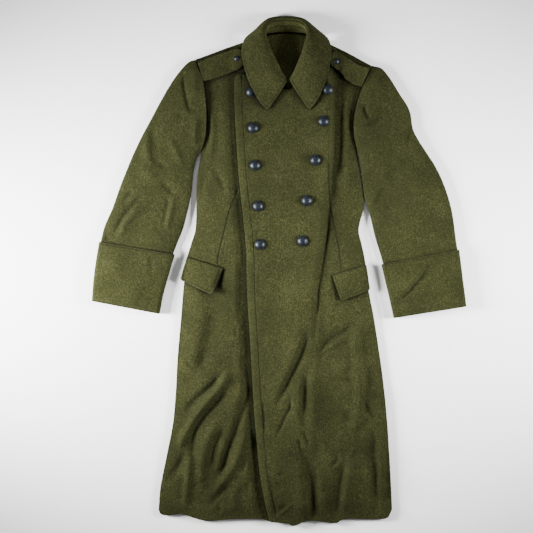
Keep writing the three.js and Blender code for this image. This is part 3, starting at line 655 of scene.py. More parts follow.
# Left front
# The wearer's left front, lapped over the right one and buttoned through it. It rolls softly
# along the outer buttons, and its skirt is rumpled below the waist.
LEFT_FRONT_TOP = [
    (-108, 463), (-100, 471), (-86, 473), (-30, 447), (22, 435), (42, 449), (66, 480), (86, 519),
    (97, 549), (124, 542), (168, 521), (222, 492),
]
LEFT_FRONT_FOOT = RIGHT_FRONT_FOOT + CLOTH + GAP
ROLL_HEIGHT = 9
ROLL_SHARE = 0.55
EDGE_LIFT = 3.0
EDGE_LIFT_WIDTH = 20
COMES_DOWN = (3, 22)  # beyond the right front's hidden edge
LEFT_FRONT_FOLDS = [
    ([(108, 505), (119, 440), (121, 370), (120, 300), (114, 205)], ROLL_HEIGHT, 7, 46),
    ([(114, 230), (102, 120), (90, 40), (78, -60), (72, -120)], ROLL_HEIGHT * 0.6, 9, 46),
    ([(160, 420), (160, 340), (162, 260), (166, 190)], 4, 10, 10),
    ([(128, 110), (124, 30), (116, -50), (110, -110)], 3, 22, 9),
    ([(224, -96), (200, -133), (184, -166), (186, -205), (192, -258), (194, -305), (188, -350),
      (178, -400)], 6.5, 10, 12),
    ([(76, -225), (78, -290), (84, -350), (96, -392)], 4, 26, 10),
    ([(46, -262), (44, -310), (42, -352)], 3.5, 9, 14),
    ([(42, -450), (50, -500), (56, -545), (52, -600)], 6.5, 11, 22),
    ([(96, -440), (100, -500), (106, -590)], 4, 22, 12),
    ([(176, -430), (168, -470), (160, -520), (152, -590)], 6, 22, 8),
    ([(243, -400), (245, -470), (248, -560)], 5, 8, 8),
    ([(-36, -470), (-26, -530), (-14, -590)], 3, 10, 8),
    ([(52, -150), (36, -200), (16, -250), (-10, -310)], 3.5, 7, 16),
]
LEFT_FRONT_CREASES = [
    ([(132, 500), (136, 440), (137, 370), (136, 300), (131, 240), (124, 195), (120, 165)], -5, 15, 8),
    ([(124, 170), (118, 137), (114, 89), (108, 49), (100, -7), (94, -40), (90, -99), (86, -160),
      (84, -190)], -3.0, 4, 7),
    ([(94, 173), (108, 149), (117, 136)], -2.2, 5, 6),
    ([(74, -130), (58, -183), (46, -211), (28, -247), (8, -287), (-12, -340)], -5.0, 9, 7),
    ([(192, -130), (172, -130), (158, -147), (134, -159), (110, -175), (88, -203)], -4.5, 5, 7),
    ([(170, -160), (140, -172), (112, -188), (98, -200)], 3, 7, 5),
    ([(197, -300), (210, -335), (227, -362)], -3, 5, 5),
    ([(228, -372), (227, -410), (226, -440), (232, -480), (234, -530), (234, -595)], -5.5, 6, 9),
    ([(256, -470), (262, -560)], -2, 4, 4),
    ([(70, -226), (63, -279), (60, -319), (57, -351), (67, -396)], -4.0, 9, 8),
    ([(57, -380), (62, -400), (70, -420)], -3.5, 5, 5),
    ([(48, -395), (50, -425), (66, -447)], -2.5, 4, 4),
    ([(58, -400), (62, -435)], 2, 5, 5),
    ([(64, -425), (72, -495), (78, -540), (83, -612)], -5.0, 11, 12),
    ([(105, -398), (126, -427), (139, -451), (122, -470), (106, -458)], -3, 4, 5),
    ([(158, -448), (152, -487), (143, -545), (138, -612)], -4.0, 8, 15),
    ([(192, -431), (228, -449)], -2, 4, 4),
    ([(158, -458), (178, -431), (192, -425)], 2.2, 5, 5),
    ([(24, -296), (28, -323), (14, -351), (-2, -387), (-11, -405)], -3, 4, 4),
    ([(32, -300), (34, -330)], 1.8, 5, 5),
    ([(4, -484), (4, -496)], -2.5, 8, 8),
    ([(-2, -505), (5, -530)], -2.5, 7, 7),
    ([(-22, -515), (-15, -560), (-6, -592)], -2.2, 4, 4),
    ([(38, -556), (18, -571), (-10, -597)], 2.2, 4, 4),
    ([(20, -560), (0, -575)], -2.5, 6, 6),
    ([(166, -223), (168, -280)], -3, 12, 12),
    ([(164, -335), (163, -370)], -2.5, 9, 9),
    ([(214, -223), (214, -291)], -3, 10, 10),
    ([(-40, -303), (-37, -350), (-34, -400)], -2, 3.5, 3.5),
    ([(74, 372), (56, 338), (38, 300)], -1.6, 14, 14),
    ([(66, 201), (80, 207), (94, 218)], -1.5, 4, 5),
    ([(82, 186), (85, 172), (80, 157)], -1.8, 6, 6),
    ([(150, 137), (175, 150), (200, 166)], -1.8, 6, 6),
    ([(168, 125), (170, 92)], -1.6, 12, 12),
]
LEFT_DART = [(118, 253), (119, 189), (122, 149), (126, 129), (138, 77), (146, 29), (148, 5)]
TOPSTITCH_IN = 19.5  # from the closing edge


def nearest_line(*distances):
    """Of several signed distances at each point, the one nearest to nothing."""
    stacked = np.stack(np.broadcast_arrays(*distances))
    return np.take_along_axis(stacked, np.abs(stacked).argmin(axis=0)[None], axis=0)[0]


def left_front_surface(x, y):
    from_edge = np.maximum(0, x - line_x["closing"](y))
    beyond = x - line_x["underlap"](y)
    foot = mix(LEFT_FRONT_FOOT, RIGHT_FRONT_FOOT, ease(beyond, *COMES_DOWN))
    form = EDGE_LIFT * np.exp(-((from_edge / EDGE_LIFT_WIDTH) ** 2))
    form = form + puff("left", x, y) * (1 - np.exp(-from_edge / 14))
    form = form + slack(x, y, 23) * ease(from_edge, 2, 26)
    form = form + fold_height(LEFT_FRONT_FOLDS + LEFT_FRONT_CREASES, x, y)
    return foot + CLOTH + neck_lift(x, y, FRONT_EARLY) + soft_floor(form)


def closing_edge(v):
    y = mix(-603.0, 463.0, v)
    return np.stack([line_x["closing"](y), y], axis=-1)


def left_front_x(u, y, a, b):
    roll = np.minimum(line_x["roll"](y), b[..., 0] - 40)
    inner = mix(a[..., 0], roll, u / ROLL_SHARE)
    outer = mix(roll, b[..., 0], (u - ROLL_SHARE) / (1 - ROLL_SHARE))
    return np.where(u <= ROLL_SHARE, inner, outer)


lap_columns = close_to_edges(210, 3.0) * ROLL_SHARE
side_columns = ROLL_SHARE + (1 - ROLL_SHARE) * close_to_edges(130, 3.0)
left_columns = np.concatenate([lap_columns[:-4], side_columns[4:], [ROLL_SHARE]])
left_x, left_y = panel_plan(
    closing_edge,
    body_edge("left"),
    through(LEFT_FRONT_TOP),
    left_front_x,
    np.sort(left_columns),
    close_to_edges(1150, STEP),
)
left_z = left_front_surface(left_x, left_y)
left_line = nearest_line(
    left_x - line_x["closing"](left_y) - TOPSTITCH_IN,
    DART_LINE * signed_distance(LEFT_DART, left_x, left_y),
)
front_left = cloth_sheet("left_front", np.dstack([left_x, left_y, left_z]), CLOTH, melton, left_line)
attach(front_left, "root")
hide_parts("front_left")

# Sleeves
# Each is a tube of melton sewn into the armhole, pressed flat where it lies, with rounded
# edges, a puckered head and a few slanting drag folds. Its end is tucked inside the cuff.
SLEEVE_LINES = {
    "right": {
        "outer": [(-201, 507), (-214, 503), (-232, 486), (-260, 448), (-303, 371), (-343, 294),
                  (-375, 218), (-400, 152), (-424, 102), (-434, 54), (-444, -13), (-449, -73)],
        "under": [(-186, 290), (-197, 268), (-204, 240), (-211, 179), (-229, 102), (-253, 26),
                  (-275, -51), (-286, -104)],
    },
    "left": {
        "outer": [(222, 492), (243, 487), (261, 467), (285, 429), (312, 384), (320, 340),
                  (333, 314), (381, 237), (410, 160), (426, 83), (439, -13), (448, -86)],
        "under": [(186, 290), (197, 222), (205, 166), (214, 141), (232, 64), (250, -13),
                  (262, -64), (273, -114)],
    },
}
SLEEVE_FOLDS = {
    "right": [
        ([(-206, 490), (-202, 440), (-198, 402)], 3.0, 12, 12),
        ([(-196, 372), (-202, 330), (-204, 290)], 3.5, 7, 8),
        ([(-320, 350), (-318, 300), (-312, 268), (-302, 250)], 3.0, 8, 9),
        ([(-267, 325), (-229, 249)], 2.0, 7, 7),
        ([(-330, 258), (-296, 210)], 2.5, 12, 12),
        ([(-330, 160), (-370, 112), (-388, 76)], 3.5, 10, 9),
        ([(-250, 190), (-262, 140), (-274, 90)], 3.0, 10, 7),
        ([(-231, 492), (-230, 450), (-223, 412), (-213, 386), (-190, 394)], -3.5, 4.5, 4.5),
        ([(-214, 441), (-186, 441)], -1.8, 3.5, 3.5),
        ([(-212, 414), (-188, 414)], -1.4, 3.5, 3.5),
        ([(-216, 456), (-192, 456)], -1.2, 3.5, 3.5),
        ([(-238, 385), (-230, 358)], -2.0, 10, 10),
        ([(-303, 352), (-298, 300), (-296, 280)], -2.2, 10, 8),
        ([(-306, 273), (-267, 244)], -2.0, 8, 8),
        ([(-284, 214), (-248, 181)], -2.5, 8, 8),
        ([(-260, 186), (-270, 140), (-279, 98)], -2.0, 4, 6),
        ([(-318, 188), (-363, 143), (-387, 104), (-398, 76)], -3.0, 6, 6),
        ([(-349, 197), (-378, 152)], -2.0, 7, 7),
        ([(-415, 90), (-413, 68)], -3.0, 6, 6),
    ],
    "left": [
        ([(206, 410), (222, 440), (244, 476)], 3.0, 7, 7),
        ([(203, 360), (216, 362), (222, 378), (240, 392)], 2.0, 4, 4),
        ([(322, 344), (324, 300), (346, 246)], 4.0, 8, 10),
        ([(225, 330), (240, 260), (262, 180)], 3.0, 16, 16),
        ([(206, 404), (203, 385), (211, 370), (222, 380)], -4.5, 5, 5),
        ([(200, 350), (230, 358), (256, 384)], -3.8, 5, 5),
        ([(262, 474), (258, 400)], -3.2, 11, 11),
        ([(314, 366), (312, 330), (310, 298)], -4.5, 6, 7),
        ([(332, 280), (300, 262), (262, 236)], -3.0, 5, 5),
        ([(346, 286), (372, 232)], -3.2, 6, 6),
        ([(254, 212), (228, 150)], -2.8, 5, 5),
        ([(272, 340), (268, 240), (284, 190)], -2.6, 10, 10),
        ([(376, 116), (394, 64)], -2.6, 9, 9),
    ],
}
SLEEVE_SIDE = CLOTH + 1.4
SLEEVE_PUFF = 7.0
SLEEVE_PRESSED = 2.5
CUFF_SHARE = 0.745
CUFF_TOPS = {"right": (0.777, 0.638), "left": (0.785, 0.68)}  # shares of the outer and under edges
CUFF_MOUTH = 0.985
CUFF_EASE = 1.0
LAYER = CLOTH + GAP
ARMHOLE_GAP = 0.5
SLEEVE_CLEAR = 1.0


def sleeve_plan(which):
    """Plan of a sleeve: u from its outer to its under edge, v from the armhole to the mouth."""
    outer_at, under_at = (along(SLEEVE_LINES[which][k]) for k in ("outer", "under"))
    away = -1 if which == "right" else 1
    ends = outer_at(np.zeros(1))[0], under_at(np.zeros(1))[0]
    share_at = [through([(0, 0), (CUFF_SHARE, top), (1, 1)]) for top in CUFF_TOPS[which]]

    def plan(u, v):
        outer, under = outer_at(share_at[0](v)), under_at(share_at[1](v))
        seam = armhole_at[which](1 - u)
        bow = ((1 - v) ** 3)[..., None]
        straight = mix(ends[0], ends[1], u[..., None])
        p = mix(outer, under, u[..., None]) + bow * (seam - straight)
        p[..., 0] += away * (ARMHOLE_GAP + SLEEVE_CLEAR * ease(v, 0, 0.04))
        return p

    return plan


# shares of a tube's width round its upper and its lower face, close together where it turns
UPPER = np.concatenate([
    [0, 0.0012, 0.004, 0.008, 0.0135, 0.02],
    np.linspace(0.03, 0.97, 52),
    [0.98, 0.9865, 0.992, 0.996, 0.9988, 1],
])
LOWER = np.concatenate([
    [0.9988, 0.996, 0.99, 0.98],
    np.linspace(0.95, 0.05, 12),
    [0.02, 0.01, 0.004, 0.0012],
])


def flat_rings(plan, vs, form, folds, seed):
    """Rings of a flattened tube. form gives inset, foot, height and side at each v."""
    upper = np.concatenate([np.ones(len(UPPER)), np.zeros(len(LOWER))])
    share, v = np.meshgrid(np.concatenate([UPPER, LOWER]), vs)
    inset, foot, height, side = (np.asarray(a, float)[:, None] for a in form(vs))
    width = np.linalg.norm(plan(np.zeros(len(vs)), vs) - plan(np.ones(len(vs)), vs), axis=1)[:, None]
    u = mix(inset / width, 1 - inset / width, share)
    p = plan(u, v)
    from_side = np.minimum(share, 1 - share) * width
    turn = np.sqrt(np.maximum(0, 1 - (1 - np.minimum(1, from_side / side)) ** 2))
    crown = (height - 2 * side) * (1 - np.exp(-from_side / 30))
    x, y = p[..., 0], p[..., 1]
    uneven = waviness(x, y, 58, seed) + 0.55 * waviness(x, y, 27, seed + 1)
    form_up = crown + np.minimum(1, from_side / 24) * (fold_height(folds, x, y) + uneven)
    form_up = np.where(height > 2 * side + 0.1, np.maximum(form_up, 0), form_up)
    z = foot + side + np.where(upper > 0, side * turn + form_up, -side * turn)
    return np.dstack([p, z])


def tube_piece(name, outer, inner, material, line=None):
    """A closed shell between outer and inner rings, open at both ends."""
    rows, around = outer.shape[:2]
    ids = np.arange(rows * around).reshape(rows, around)
    ids = np.hstack([ids, ids[:, :1]])
    under = ids + rows * around
    faces = quads(ids[:-1, :-1], ids[1:, :-1], ids[1:, 1:], ids[:-1, 1:])
    faces += quads(under[:-1, :-1], under[:-1, 1:], under[1:, 1:], under[1:, :-1])
    faces += quads(ids[0, :-1], ids[0, 1:], under[0, 1:], under[0, :-1])
    faces += quads(ids[-1, :-1], under[-1, :-1], under[-1, 1:], ids[-1, 1:])
    return mesh_object(name, np.concatenate([outer, inner]) * MM, faces, material, line)


def in_cuff(v):
    return ease(v, CUFF_SHARE - 0.035, CUFF_SHARE - 0.008)


def sleeve_form(v, within=0.0):
    inside = in_cuff(v)
    one = np.ones_like(v)
    drawn_in = ease(v, CUFF_SHARE - 0.2, CUFF_SHARE - 0.008)  # little by little, so no step shows
    return (
        drawn_in * (LAYER + CUFF_EASE) + within,
        inside * LAYER + within,
        2 * SLEEVE_SIDE + SLEEVE_PUFF - inside * SLEEVE_PRESSED - 2 * within,
        one * (SLEEVE_SIDE - within),
    )


def rounded_ends(form, start, end, length, radius, within):
    """The form, with the wall's outer and inner faces drawn together at the ends it is turned."""

    def at(v):
        inset, foot, height, side = form(v, within)
        from_start = v - start if start is not None else 9
        from_end = end - v if end is not None else 9
        near = np.minimum(from_start, from_end) * length
        t = np.clip(1 - near / radius, 0, 1)
        pull = np.minimum(radius * (1 - np.sqrt(1 - t**2)), CLOTH * 0.46) * (1 if within == 0 else -1)
        return inset + pull, foot + pull, height - 2 * pull, side - pull

    return at


SLEEVE_LENGTH = 620
END_ROUND = 1.4  # radius of a sleeve's or cuff's edge
sleeve_rows = np.concatenate([
    [0, 0.0006, 0.0016, 0.003],
    np.linspace(0.006, CUFF_SHARE - 0.045, 105),
    np.linspace(CUFF_SHARE - 0.04, CUFF_SHARE, 16),
    np.linspace(CUFF_SHARE + 0.03, CUFF_MOUTH, 10),
])
plans = {which: sleeve_plan(which) for which in ("right", "left")}
for which, plan in plans.items():
    seed = 31 if which == "right" else 37
    folds = SLEEVE_FOLDS[which]
    rings = []
    for within in (0.0, CLOTH):
        form = rounded_ends(sleeve_form, 0, None, SLEEVE_LENGTH, END_ROUND, within)
        rings.append(flat_rings(plan, sleeve_rows, form, folds, seed))
    sleeve = tube_piece(which + "_sleeve", *rings, melton)
    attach(sleeve, "root")
    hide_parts("sleeve_" + which)

# Cuffs
# Deep turn-back cuffs: the sleeve's end doubled back over itself, so that each lies one layer
# prouder than the sleeve, with a folded lower edge and a stitched upper one.
CUFF_FOLDS = {
    "right": [
        ([(-420, 30), (-360, -20), (-330, -80)], 2.5, 30, 24),
        ([(-310, 37), (-303, -11)], -1.5, 6, 6),
    ],
    "left": [
        ([(262, -85), (306, -38), (352, 10)], 4.0, 20, 9),
        ([(276, -82), (308, -50), (342, -10), (372, 26)], -4.0, 5, 6),
        ([(272, -84), (276, -112)], -3.0, 6, 8),
        ([(376, -50), (369, -88)], -1.4, 6, 6),
    ],
}
CUFF_STITCH_IN = 5.0
FINE_LINE = 2.2  # a stitched line, its groove under half as wide as LINE_WIDTH gives


def cuff_form(v, within=0.0):
    one = np.ones_like(v)
    height = 2 * SLEEVE_SIDE + SLEEVE_PUFF - SLEEVE_PRESSED + 2 * LAYER
    return one * within, one * within, one * (height - 2 * within), one * (SLEEVE_SIDE + LAYER - within)


cuff_rows = np.concatenate([
    CUFF_SHARE + np.array([0, 0.0006, 0.0014, 0.0024, 0.0045]),
    np.linspace(CUFF_SHARE + 0.008, 0.992, 40),
    1 - np.array([0.0045, 0.0024, 0.0014, 0.0006, 0]),
])
for which, plan in plans.items():
    seed = 41 if which == "right" else 47
    rings = []
    for within in (0.0, CLOTH):
        form = rounded_ends(cuff_form, CUFF_SHARE, 1, SLEEVE_LENGTH, END_ROUND, within)
        rings.append(flat_rings(plan, cuff_rows, form, CUFF_FOLDS[which], seed))
    from_top = (cuff_rows[:, None] - CUFF_SHARE) * SLEEVE_LENGTH
    edge_line = FINE_LINE * (from_top - CUFF_STITCH_IN)
    cuff = tube_piece(which + "_cuff", *rings, melton, np.broadcast_to(edge_line, rings[0].shape[:2]))
    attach(cuff, "root")
    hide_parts("cuff_" + which)

# Collar stand
# A band of melton that rises from the neck seam and leans inwards to the seam inside the roll.
# Only its inner side shows, shaded, round the back of the neck.
COLLAR_HALF = [
    # axis, raise, neck, turn, crest, bulge, drop, edge
    (22, 2.4, (20, 442, 9.8), (21.2, 461, 14), (19.5, 455, 18), (6, 432, 20), (-10, 409, 19), (-27, 383, 16)),
    (21, 3, (3, 455, 9), (9, 474, 21), (3, 469, 26), (-12, 449, 27), (-27, 426, 24), (-44, 400, 21)),
    (20, 4, (-16, 472, 10), (-4, 498, 27), (-11, 492, 33), (-29, 475, 33), (-46, 456, 28), (-64, 433, 23)),
    (19, 3, (-33, 494, 11), (-15, 520, 31), (-23, 514, 37), (-42, 500, 35), (-60, 484, 29), (-78, 465, 23)),
    (17.5, 2, (-47, 520, 13), (-24, 541, 33), (-33, 537, 39), (-52, 527, 36), (-71, 514, 29), (-88, 500, 22)),
    (17, 1, (-57, 545, 15), (-30, 560, 33), (-39, 558, 38), (-57, 553, 34), (-75, 545, 27), (-91, 535, 20)),
    (17, 0, (-50, 562, 14), (-30, 574, 29), (-38, 574, 34), (-54, 573, 28), (-68, 569, 20), (-80, 562, 12)),
    (16.5, 0, (-34, 568, 11), (-26, 586, 23), (-33, 590, 26), (-45, 590, 17), (-52, 583, 5), (-62, 564, 0)),
    (16, 0, (-12, 571.5, 9), (-14, 596, 18), (-18, 603, 20), (-26, 606, 10), (-28, 596, 0), (-38, 548, 0)),
    (15.5, 0, (15.5, 572.5, 8), (15.5, 598, 16), (15.5, 606, 18), (15.5, 611.5, 9), (15.5, 600, 0),
     (15.5, 542, 0)),
]
RAILS = ("neck", "turn", "crest", "bulge", "drop", "edge")
STAND_ENDS = 0.075


def mirror_row(row):
    axis, lift, *points = row
    return (axis, lift, *((2 * axis - x, y, z + lift) for x, y, z in points))


collar_rows = COLLAR_HALF + [mirror_row(row) for row in COLLAR_HALF[-2::-1]]
rail_at = {name: along([row[2 + k] for row in collar_rows]) for k, name in enumerate(RAILS)}


def collar_grid(shares_along, stand_across, fall_across):
    """Sections of the collar from the neck seam to its outer edge, one for each share of its
    length: first the stand's points, then the fall's."""
    rows = []
    for s in shares_along:
        line = dense([rail_at[name](s) for name in RAILS], 16)
        walked = np.concatenate([[0], np.cumsum(np.linalg.norm(np.diff(line, axis=0), axis=1))])
        turn = walked[16]
        at = np.concatenate([stand_across * (turn - GAP), mix(turn, walked[-1], fall_across)])
        rows.append(np.stack([np.interp(at, walked, line[:, k]) for k in range(3)], axis=-1))
    made = np.array(rows)
    made[..., 2] = np.maximum(made[..., 2], 0)
    return made


COLLAR_LENGTH = 640
STAND_HEIGHT = 26
FALL_DEPTH = 85
STAND_SEAM_IN = 14.0  # from the neck seam
COLLAR_ALONG = close_to_edges(COLLAR_LENGTH, 3.2)
STAND_ACROSS = close_to_edges(STAND_HEIGHT, 2.2)
FALL_ACROSS = close_to_edges(FALL_DEPTH, 2.6)
collar_points = collar_grid(COLLAR_ALONG, STAND_ACROSS, FALL_ACROSS)
collar_normals = grid_normals(collar_points[:, ::-1])[:, ::-1]
stand_rows = (COLLAR_ALONG > STAND_ENDS) & (COLLAR_ALONG < 1 - STAND_ENDS)
stand_count = len(STAND_ACROSS)
stand_points = collar_points[stand_rows][:, :stand_count]
stand_line = np.broadcast_to((STAND_ACROSS * STAND_HEIGHT - STAND_SEAM_IN)[None], stand_points.shape[:2])
stand = cloth_sheet(
    "collar_stand_band",
    stand_points[:, ::-1],
    CLOTH,
    melton_inside_painted_lighter,
    stand_line[:, ::-1],
    normals=collar_normals[stand_rows][:, :stand_count][:, ::-1],
)
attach(stand, "root")
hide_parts("collar_stand")

# Collar fall
# The turned-down collar, two layers of melton with pointed ends, rolled over the stand and
# spread on the fronts, its back edge caught under the neck. Its edges are topstitched.
FALL_STITCH_IN = 6.5
FALL_TIP = 6.0


def round_corners(p, row_at, column_at, radius, corners):
    """The grid with its corners drawn in to a radius. Its rows and columns lie at given lengths,
    and corners names each by (last row?, last column?)."""
    a, b = np.meshgrid(row_at, column_at, indexing="ij")
    for last_row, last_column in corners:
        from_row = row_at[-1] - a if last_row else a
        from_column = column_at[-1] - b if last_column else b
        deep, wide = radius - from_row, radius - from_column
        inside = (deep > 0) & (wide > 0)
        draw = np.where(inside, np.maximum(deep, wide) / np.maximum(np.hypot(deep, wide), 1e-9), 1)
        from_row = np.where(inside, radius - deep * draw, from_row)
        from_column = np.where(inside, radius - wide * draw, from_column)
        a = row_at[-1] - from_row if last_row else from_row
        b = column_at[-1] - from_column if last_column else from_column
    fi = np.interp(a, row_at, np.arange(len(row_at)))
    fj = np.interp(b, column_at, np.arange(len(column_at)))
    i = np.minimum(fi.astype(int), len(row_at) - 2)
    j = np.minimum(fj.astype(int), len(column_at) - 2)
    ti, tj = (fi - i)[..., None], (fj - j)[..., None]
    low = mix(p[i, j], p[i + 1, j], ti)
    high = mix(p[i, j + 1], p[i + 1, j + 1], ti)
    return mix(low, high, tj)


fall_normals = collar_normals[:, stand_count:]
fall_flat = collar_points[:, stand_count:]
from_edge = np.linalg.norm(fall_flat - fall_flat[:, -1:], axis=2)
from_ends = np.minimum(
    np.linalg.norm(fall_flat - fall_flat[:1], axis=2), np.linalg.norm(fall_flat - fall_flat[-1:], axis=2)
)
near = np.minimum(from_edge, from_ends)
uneven = 0.9 * waviness(fall_flat[..., 0], fall_flat[..., 1], 42, 53) * ease(near, 4, 26)
lies = ease(fall_flat[..., 2], 3, 8)
fall_points = fall_flat + fall_normals * ((uneven - 0.5 * ease(6.0 - near, -3, 6)) * lies)[..., None]
tips = (COLLAR_ALONG * COLLAR_LENGTH, FALL_ACROSS * FALL_DEPTH, FALL_TIP, [(False, True), (True, True)])
fall_points = round_corners(fall_points, *tips)
fall_line = FINE_LINE * round_corners((near - FALL_STITCH_IN)[..., None], *tips)[..., 0]
fall_normals = round_corners(fall_normals, *tips)
fall = cloth_sheet(
    "collar_fall_leaf", fall_points[:, ::-1], CLOTH, melton, fall_line[:, ::-1], normals=fall_normals[:, ::-1]
)
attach(fall, "root")
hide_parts("collar_fall")

# Shoulder straps
# A doubled strap of melton sewn into each armhole seam, lying on the shoulder and buttoned
# beside the collar. The left one is crumpled and stands off the shoulder along its front edge.
STRAPS = {
    "right": {
        "end": [(-196, 499), (-175, 508), (-150, 517), (-124, 526), (-100, 533), (-86, 528)],
        "side": [(-182, 455), (-165, 458), (-140, 466), (-115, 476), (-94, 485), (-83, 497)],
    },
    "left": {
        "end": [(218, 486), (192, 493), (172, 505), (152, 518), (134, 526), (121, 520)],
        "side": [(198, 441), (180, 446), (160, 459), (147, 476), (133, 485), (121, 494)],
    },
}
STRAP_THICK = 3.0
STRAP_GAP = 0.9
STRAP_STITCH_IN = 5.5
STRAP_LENGTH = 115
STRAP_WIDTH = 45
STRAP_CORNER = 8.0
STRAP_LIFT = 0.5
STITCH_LINE = 2  # as FINE_LINE, a little wider
surfaces = {"right": right_front_surface, "left": left_front_surface}


def strap_top(which, x, y):
    return surfaces[which](x, y) + STRAP_GAP + STRAP_THICK


for which, lines in STRAPS.items():
    end_line, side_line = along(lines["end"]), along(lines["side"])
    strap_along, strap_across = close_to_edges(STRAP_LENGTH, 2.2), close_to_edges(STRAP_WIDTH, 2.2)
    s, t = np.meshgrid(strap_along, strap_across, indexing="ij")
    plan_points = mix(end_line(s), side_line(s), t[..., None])
    x, y = plan_points[..., 0], plan_points[..., 1]
    crumple = 3.4 * t**2 * np.sin(s * 13) ** 2 if which == "left" else 1.2 * t * np.sin(s * 6) ** 2
    near = np.minimum(np.minimum(t, 1 - t) * STRAP_WIDTH, (1 - s) * STRAP_LENGTH)
    z = strap_top(which, x, y) + crumple + STRAP_LIFT
    p = np.dstack([x, y, z, STITCH_LINE * (near - STRAP_STITCH_IN)])
    sides = strap_along * STRAP_LENGTH, strap_across * STRAP_WIDTH
    p = round_corners(p, *sides, STRAP_CORNER, [(True, False), (True, True)])
    if which == "right":
        p = p[:, ::-1]
    strap = cloth_sheet(which + "_shoulder_strap", p[..., :3], STRAP_THICK, melton, p[..., 3])
    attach(strap, "root")
    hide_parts("shoulder_strap_" + which)

# Pocket flaps
# A flap of doubled melton over each slanting hip pocket, sewn along its upper edge. Its free
# edges are topstitched and stand off the skirt, most at the front corner.
FLAPS = {
    "right": ((-222, 33), (-135, 6), (-161, -58), (-238, -22), 9.0),
    "left": ((209, 14), (127, -11), (148, -73), (218, -47), 3.5),
}
FLAP_STITCH_IN = 6.0
FLAP_WIDTH = 90
FLAP_DEPTH = 68
FLAP_CORNER = 7.0
FLAP_LIFT = 0.3
for which, (seam_outer, seam_inner, free_inner, free_outer, lift) in FLAPS.items():
    flap_across, flap_down = close_to_edges(FLAP_WIDTH, 2.2), close_to_edges(FLAP_DEPTH, 2.2)
    u, v = np.meshgrid(flap_across, flap_down)
    seam = mix(np.array(seam_outer, float), np.array(seam_inner, float), u[..., None])
    free = mix(np.array(free_outer, float), np.array(free_inner, float), u[..., None])
    plan_points = mix(seam, free, v[..., None])
    x, y = plan_points[..., 0], plan_points[..., 1]
    near = np.minimum(np.minimum(u, 1 - u) * FLAP_WIDTH, (1 - v) * FLAP_DEPTH)
    drawn_in = -0.8 * np.exp(-((v * FLAP_DEPTH / 2.0) ** 2))
    bow = lift * v * u**2 + 1.6 * v * (1 - v)
    z = surfaces[which](x, y) + 2 * GAP + CLOTH + bow + drawn_in + FLAP_LIFT
    p = np.dstack([x, y, z, STITCH_LINE * (near - FLAP_STITCH_IN)])
    sides = flap_down * FLAP_DEPTH, flap_across * FLAP_WIDTH
    p = round_corners(p, *sides, FLAP_CORNER, [(True, False), (True, True)])
    if which == "right":
        p = p[::-1]
    else:
        p = p[::-1, ::-1]
    flap = cloth_sheet(which + "_pocket_flap", p[..., :3], CLOTH, melton, p[..., 3])
    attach(flap, "root")
    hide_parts("pocket_flap_" + which)

# Buttons
# Stamped metal buttons with a dark blue-grey oxidised finish: a low dome inside a rolled rim,
# with a beaded ring and a plain rosette, seated on the cloth that they fasten.
FRONT_BUTTONS = {
    "inner": [(-67, 429), (-63, 343), (-58, 253), (-51, 155), (-46, 63)],
    "outer": [(116, 434), (106, 358), (87, 265), (66, 168), (56, 71)],
}
STRAP_BUTTONS = {"right": (-101, 509), "left": (136, 502)}
FRONT_BUTTON = (24.5, 6.2)
STRAP_BUTTON = (15.0, 4.6)
BUTTON_TURNS = 72
BUTTON_PROFILE = [
    (0.0, 0.02), (0.55, 0.02), (0.84, 0.0), (0.93, 0.03), (0.985, 0.12), (1.0, 0.24), (0.985, 0.36),
    (0.945, 0.43), (0.9, 0.44), (0.865, 0.41), (0.83, 0.4), (0.8, 0.44), (0.74, 0.55), (0.66, 0.67),
    (0.57, 0.77), (0.46, 0.86), (0.34, 0.93), (0.22, 0.975), (0.11, 0.995), (0.0, 1.0),
]


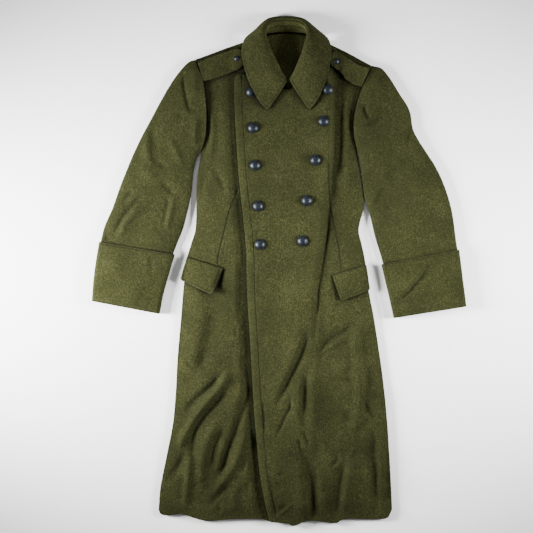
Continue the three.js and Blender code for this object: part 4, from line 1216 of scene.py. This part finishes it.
def oxidised_metal():
    """Stamped metal, oxidised blue-black, with paler and smoother patches at random."""
    material = new_material("oxidised_button_metal")
    place = add_node(material, "ShaderNodeTexCoord").outputs["Object"]
    wear = add_node(
        material,
        "ShaderNodeTexNoise",
        {"Scale": 420.0, "Detail": 4.0, "Roughness": 0.6},
        {"Vector": place},
    )
    ramp = add_node(material, "ShaderNodeValToRGB", links={"Fac": wear.outputs["Fac"]})
    ramp.color_ramp.elements[0].position = 0.38
    ramp.color_ramp.elements[0].color = linear("#14171b")
    ramp.color_ramp.elements[1].position = 0.68
    ramp.color_ramp.elements[1].color = linear("#2f363d")
    rough = add_node(
        material,
        "ShaderNodeMapRange",
        {"From Min": 0.3, "From Max": 0.7, "To Min": 0.58, "To Max": 0.38},
        {"Value": wear.outputs["Fac"]},
    )
    bump = add_node(
        material,
        "ShaderNodeBump",
        {"Strength": 0.25, "Distance": 0.0003},
        {"Height": wear.outputs["Fac"]},
    )
    shader = add_node(
        material,
        "ShaderNodeBsdfPrincipled",
        {"Metallic": 0.85},
        {"Base Color": ramp.outputs["Color"], "Roughness": rough.outputs[0], "Normal": bump.outputs[0]},
    )
    show(material, shader)
    return material


button_metal = oxidised_metal()


def add_button(name, node, size, x, y, surface):
    across, height = size
    radius = across / 2
    profile = dense(BUTTON_PROFILE, 3)
    turn = np.linspace(0, 2 * math.pi, BUTTON_TURNS, endpoint=False)
    out, up = profile[:, :1], profile[:, 1:]
    beads = 0.035 * np.exp(-(((out - 0.76) / 0.035) ** 2)) * (0.5 + 0.5 * np.cos(24 * turn))
    petals = 0.05 * np.exp(-(((out - 0.36) / 0.15) ** 2)) * (0.5 + 0.5 * np.cos(8 * turn))
    boss = 0.05 * np.exp(-((out / 0.11) ** 2)) + 0 * turn
    raised = np.where(up > 0.4, beads + petals + boss, 0)
    around = np.linspace(0, 2 * math.pi, 13)
    seat = max(surface(np.array([x + radius * k * np.cos(a)]), np.array([y + radius * k * np.sin(a)]))[0]
               for a in around for k in (0, 0.9))
    p = np.stack([
        x + radius * out * np.cos(turn),
        y + radius * out * np.sin(turn),
        seat + GAP + height * (up + raised) + 0 * turn,
    ], axis=-1)[1:-1]
    rows = len(p)
    ids = np.arange(rows * BUTTON_TURNS).reshape(rows, BUTTON_TURNS)
    ids = np.hstack([ids, ids[:, :1]])
    faces = quads(ids[:-1, :-1], ids[:-1, 1:], ids[1:, 1:], ids[1:, :-1])
    faces += [ids[0, :-1].tolist()[::-1], ids[-1, :-1].tolist()]
    button = mesh_object(name, p * MM, faces, button_metal)
    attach(button, "root")
    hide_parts(node)


for row, places in FRONT_BUTTONS.items():
    for number, (x, y) in enumerate(places, 1):
        name, node = f"{row}_button_{number}", f"button_{row}_{number}"
        add_button(name, node, FRONT_BUTTON, x, y, left_front_surface)
STRAP_CRUMPLE = 1.0  # what the strap's crumpling adds under its button
for which, (x, y) in STRAP_BUTTONS.items():
    name, node = f"{which}_strap_button", f"button_strap_{which}"
    add_button(name, node, STRAP_BUTTON, x, y, lambda a, b: strap_top(which, a, b) + STRAP_CRUMPLE)
